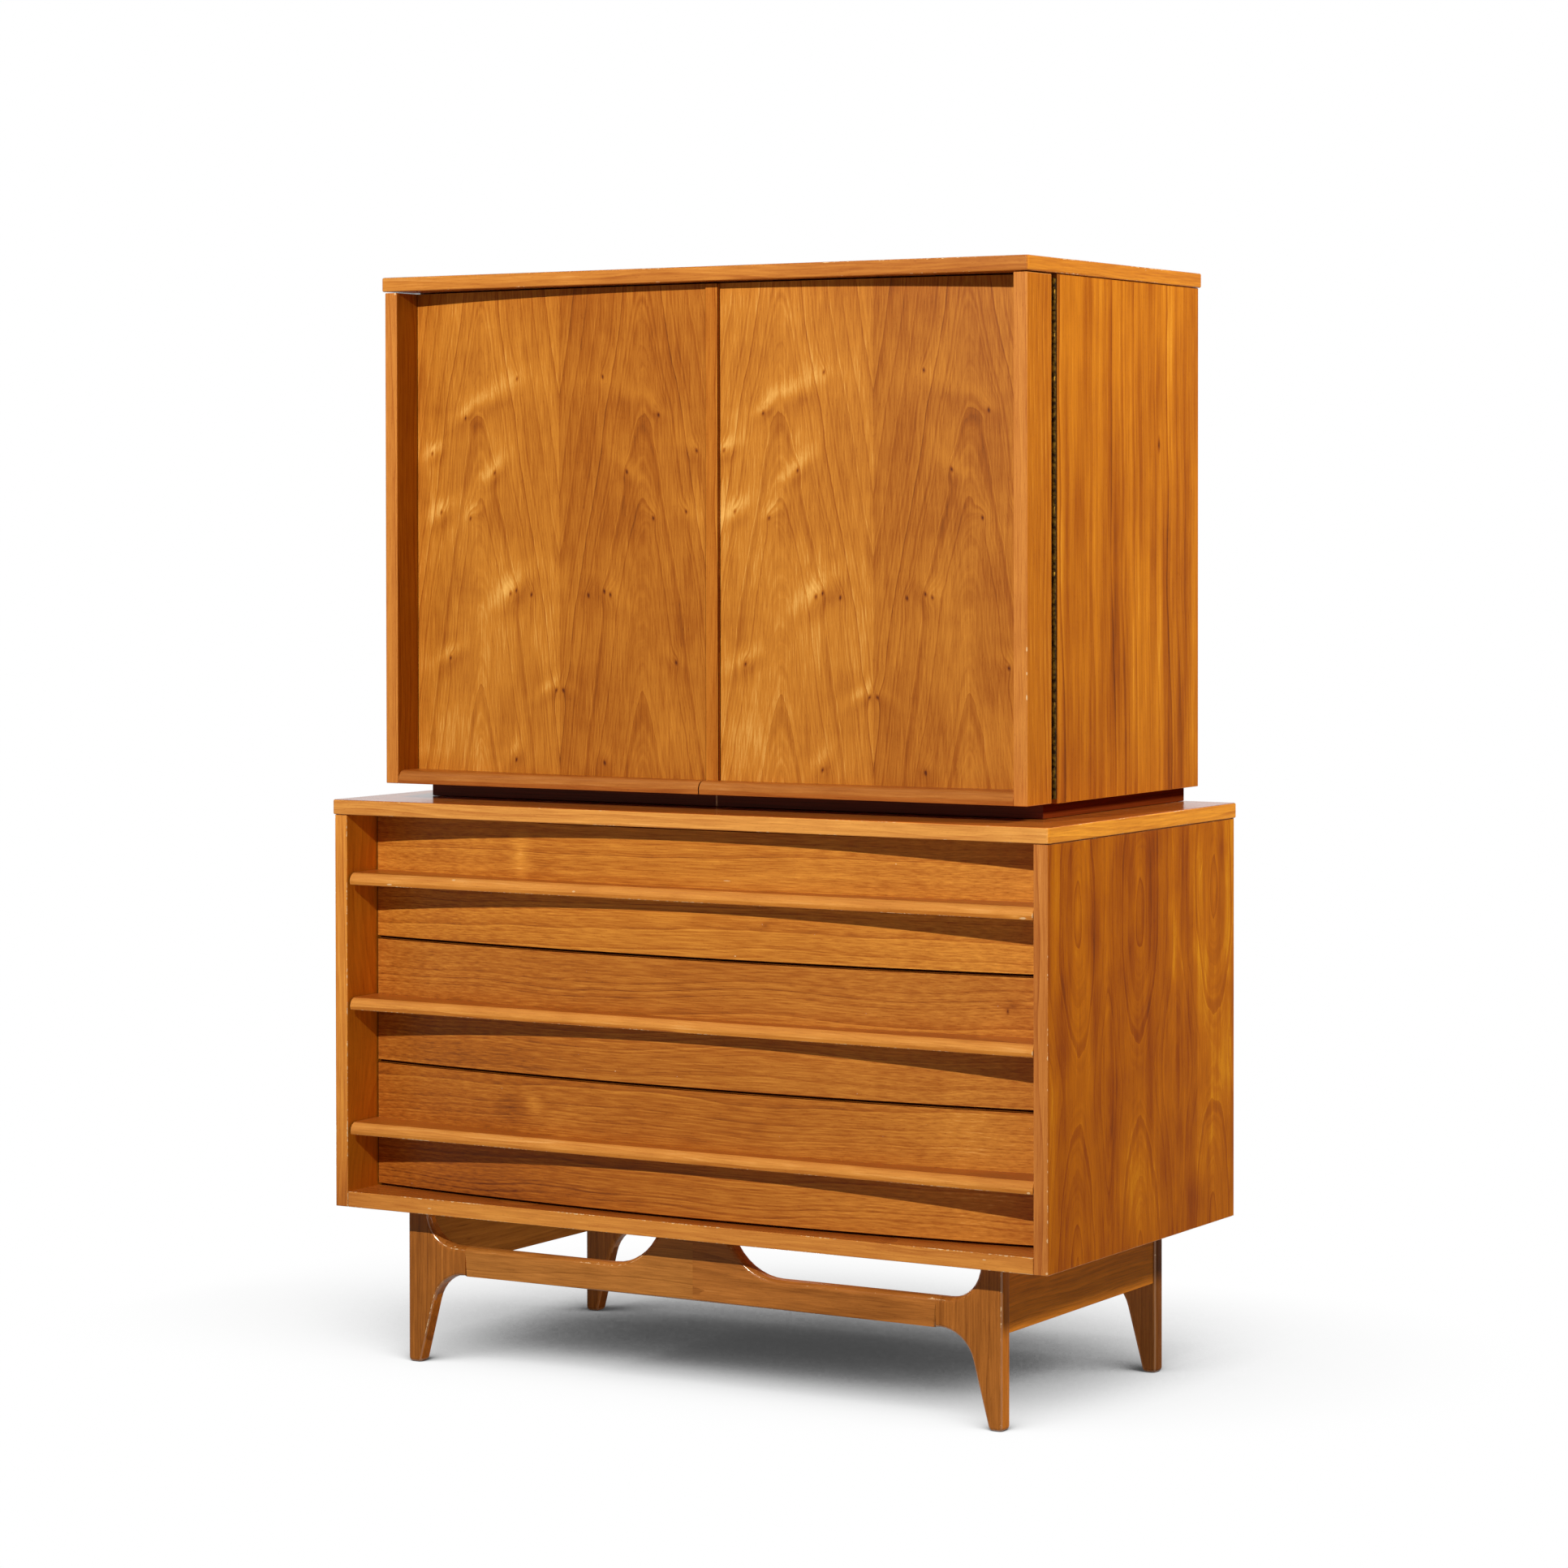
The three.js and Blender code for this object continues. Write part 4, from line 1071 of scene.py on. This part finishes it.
# %% [markdown]
# Two finishes are left. The cupboard's eased side corners lost their colour to sleeves, so they are
# a paler, cloudy walnut. The hinges are rolled brass that has gone brown in sixty years: a dull
# metal, with small spots where it still glows yellow.

# %% Worn corners and brass
worn_side = strip(
    "worn_lacquer_side",
    grain="Z",
    across="Y",
    seed=72.0,
    gloss=0.03,
    tone=0.60,
    cloud=0.3,
    lift=(1.0, 0.85, 0.5),
)

TARNISH_SIZE, TARNISH = 0.006, [(0.40, "#241505"), (0.70, "#6a4c12")]
brass_material, tree = blank_material("aged_brass")
place = add_node(tree, "TexCoord", out="Object")
tarnish = add_node(tree, "ValToRGB", mottle(tree, place, [TARNISH_SIZE] * 3, 4.0))
set_stops(tarnish, TARNISH)
brass = {"Base Color": tarnish, "Metallic": 1.0, "Roughness": 0.42}
surface = add_node(tree, "BsdfPrincipled", inputs=brass)
add_node(tree, "OutputMaterial", surface)
print("finishes in all:", len(bpy.data.materials))

# %% [markdown]
# Each `choose` function picks a face's finish from where it looks: veneer on broad faces, a solid strip
# on edges, and on the leg frame a glossier finish on the roundings. Some of the others are lit and shaded
# copies of one wood, whose colour paints light on some faces and shade on others: the lips' rounding, top
# and ends, the inner faces of the chest's sides and the stiles, the leg frame's sideways faces and the
# aprons' inner faces. It answers with the place in the list of finishes: 0 is the main one, 1 the
# bevel's, and 2 and up are the others.

# %% Choose the finish of a face


def slab_face(face):
    """Veneer above and below, and a solid strip along each edge."""
    if abs(face.normal.z) > 0.7:
        return 0
    return 2 if abs(face.normal.y) > abs(face.normal.x) else 3


def board_face(face):
    """Veneer on the outer face, a solid strip in front, and its own finish on the inner face: painted
    light on the chest's sides, painted shade on the stiles.
    """
    if abs(face.normal.x) < 0.7:
        return 2
    return 0 if face.normal.x * face.calc_center_median().x > 0 else 3


def lip_face(face):
    """The upper rounding gets a paler copy, a painted highlight, and the flat top behind it and the ends
    get darker copies, painted shade.
    """
    if abs(face.normal.x) > 0.9:
        return 4
    if face.normal.z > 0.93:
        return 3
    return 2 if face.normal.z > 0.15 else 0


def rail_face(face):
    return 2 if abs(face.normal.z) > 0.7 else 0


def frame_face(face):
    if abs(face.normal.x) > 0.93:
        return 3
    return 2 if -0.95 < face.normal.y < -0.2 else 0


def plinth_face(face):
    return 2 if abs(face.normal.x) > 0.7 else 0


def apron_face(face):
    return 2 if face.normal.x * face.calc_center_median().x < 0 else 0


print("ways to choose:", [name for name in dir() if name.endswith("_face")])

# %% [markdown]
# Now every solid is dressed. Each drawer, door and side is made alike, so loops over the three
# drawers and the two sides do most of the work. Small brass and thin boards keep sharp corners.

# %% Dress every solid
for label in ("top", "middle", "bottom"):
    dress(f"{label}_drawer_front", drawer_veneer[label], gap_edge, 0.0010)
    faces = [lip_worn, lip_top, lip_end]
    dress(f"{label}_drawer_lip", lip_wood, lip_wood, 0.0009, others=faces, choose=lip_face)
    dress(f"{label}_drawer_side_left", poplar_y)
    dress(f"{label}_drawer_side_right", poplar_y)
    dress(f"{label}_drawer_back", poplar_x)
    dress(f"{label}_drawer_bottom", birch_ply_x, ease=0)
for side in ("left", "right"):
    dress(f"{side}_door_panel", door_veneer[side], gap_edge, 0.0005)
    faces = [door_lip_worn, lip_top, lip_end]
    dress(f"{side}_door_lip", door_lip_wood, door_lip_wood, 0.0006, others=faces, choose=lip_face)
    faces = [stile_front, stile_inner]
    dress(f"{side}_door_stile", stile_side, stile_front, 0.0010, others=faces, choose=board_face)
    faces = [case_front[side], inner_veneer]
    dress(f"chest_side_{side}", upright_veneer, case_front[side], 0.0008, others=faces, choose=board_face)
    faces = [along_z, striped_veneer]
    dress(f"cupboard_side_{side}", striped_veneer, worn_side, others=faces, choose=board_face)
    dress(f"shelf_{side}", shelf_veneer, along_x, 0.0006)
    dress(f"side_apron_{side}", apron_wood, ease=0.0015, others=[apron_inner], choose=apron_face)
    dress(f"cleat_{side}", apron_wood, ease=0.001)
    dress(f"{side}_hinge_case_leaf", brass_material, ease=0)
    dress(f"{side}_hinge_door_leaf", brass_material, ease=0)
    for end in ("front", "rear"):
        flat, rounded, sideways = leg_wood[end]
        dress(f"{end}_{side}_leg", flat, ease=0, others=[rounded, sideways], choose=frame_face)
        flat, rounded, sideways = base_rail[side]
        dress(f"{end}_rail_{side}", flat, ease=0, others=[rounded, sideways], choose=frame_face)
dress("right_door_meeting_strip", meeting_wood, gap_edge, 0.0008)
for node, strips in slab_strips.items():
    dress(node, top_veneer, ease=0, others=strips, choose=slab_face)
dress("chest_floor", rail_front, rail_front, 0.0009, others=[rail_top], choose=rail_face)
dress("chest_back", birch_ply_z)
dress("cupboard_back", birch_ply_z)
dress("cupboard_floor", shelf_veneer, along_x)
dress("cupboard_partition", partition_veneer, along_z)
dress("dust_frame_lower", poplar_x)
dress("dust_frame_upper", poplar_x)
dress("plinth", plinth_front, ease=0.001, others=[plinth_side], choose=plinth_face)

# %% [markdown]
# The two thin backs are held by slotted brass screws along their side edges, as on any case of this
# kind. Their heads stand a little proud, and no two slots were left at the same turn.

# %% Screws in the backs
SCREW_RADIUS, SLOT_HALF, SCREW_RISE = 0.0030, 0.0004, 0.0005
SCREW_INSET, SCREW_MARGIN, RIM_STEPS = 0.0044, 0.03, 12


def screw_head(shape, x, y, z, turn):
    """Two raised half discs with the slot between them, facing the back."""
    start = asin(SLOT_HALF / SCREW_RADIUS)
    for half in (0.0, pi):
        steps = [(pi - 2 * start) * i / RIM_STEPS for i in range(RIM_STEPS + 1)]
        angles = [turn + half + start + step for step in steps]
        around = [(SCREW_RADIUS * cos(angle), SCREW_RADIUS * sin(angle)) for angle in angles]
        rim = [shape.verts.new((x + over, y, z + up)) for over, up in around]
        raised = bmesh.ops.extrude_face_region(shape, geom=[shape.faces.new(rim)])["geom"]
        lifted = [part for part in raised if isinstance(part, bmesh.types.BMVert)]
        bmesh.ops.translate(shape, verts=lifted, vec=(0, SCREW_RISE, 0))


for node, count in (("chest_back", 4), ("cupboard_back", 5)):
    low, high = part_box(node)
    shape = bmesh.new()
    for side_x in (low[0] + SCREW_INSET, high[0] - SCREW_INSET):
        for i in range(count):
            level = low[2] + SCREW_MARGIN + (high[2] - low[2] - 2 * SCREW_MARGIN) * i / (count - 1)
            turn = 2.4 * i + 9 * side_x  # any turn will do, as long as no two are alike
            screw_head(shape, side_x, high[1], level, turn)
    bmesh.ops.recalc_face_normals(shape, faces=shape.faces)
    mesh = bpy.data.meshes.new(f"{node}_screws")
    shape.to_mesh(mesh)
    shape.free()
    mesh.materials.append(brass_material)
    screws = bpy.data.objects.new(f"{node}_screws", mesh)
    bpy.context.scene.collection.objects.link(screws)
    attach(screws, "carcass")
    print(node, "has", 2 * count, "screws")

# %% End
print("done")
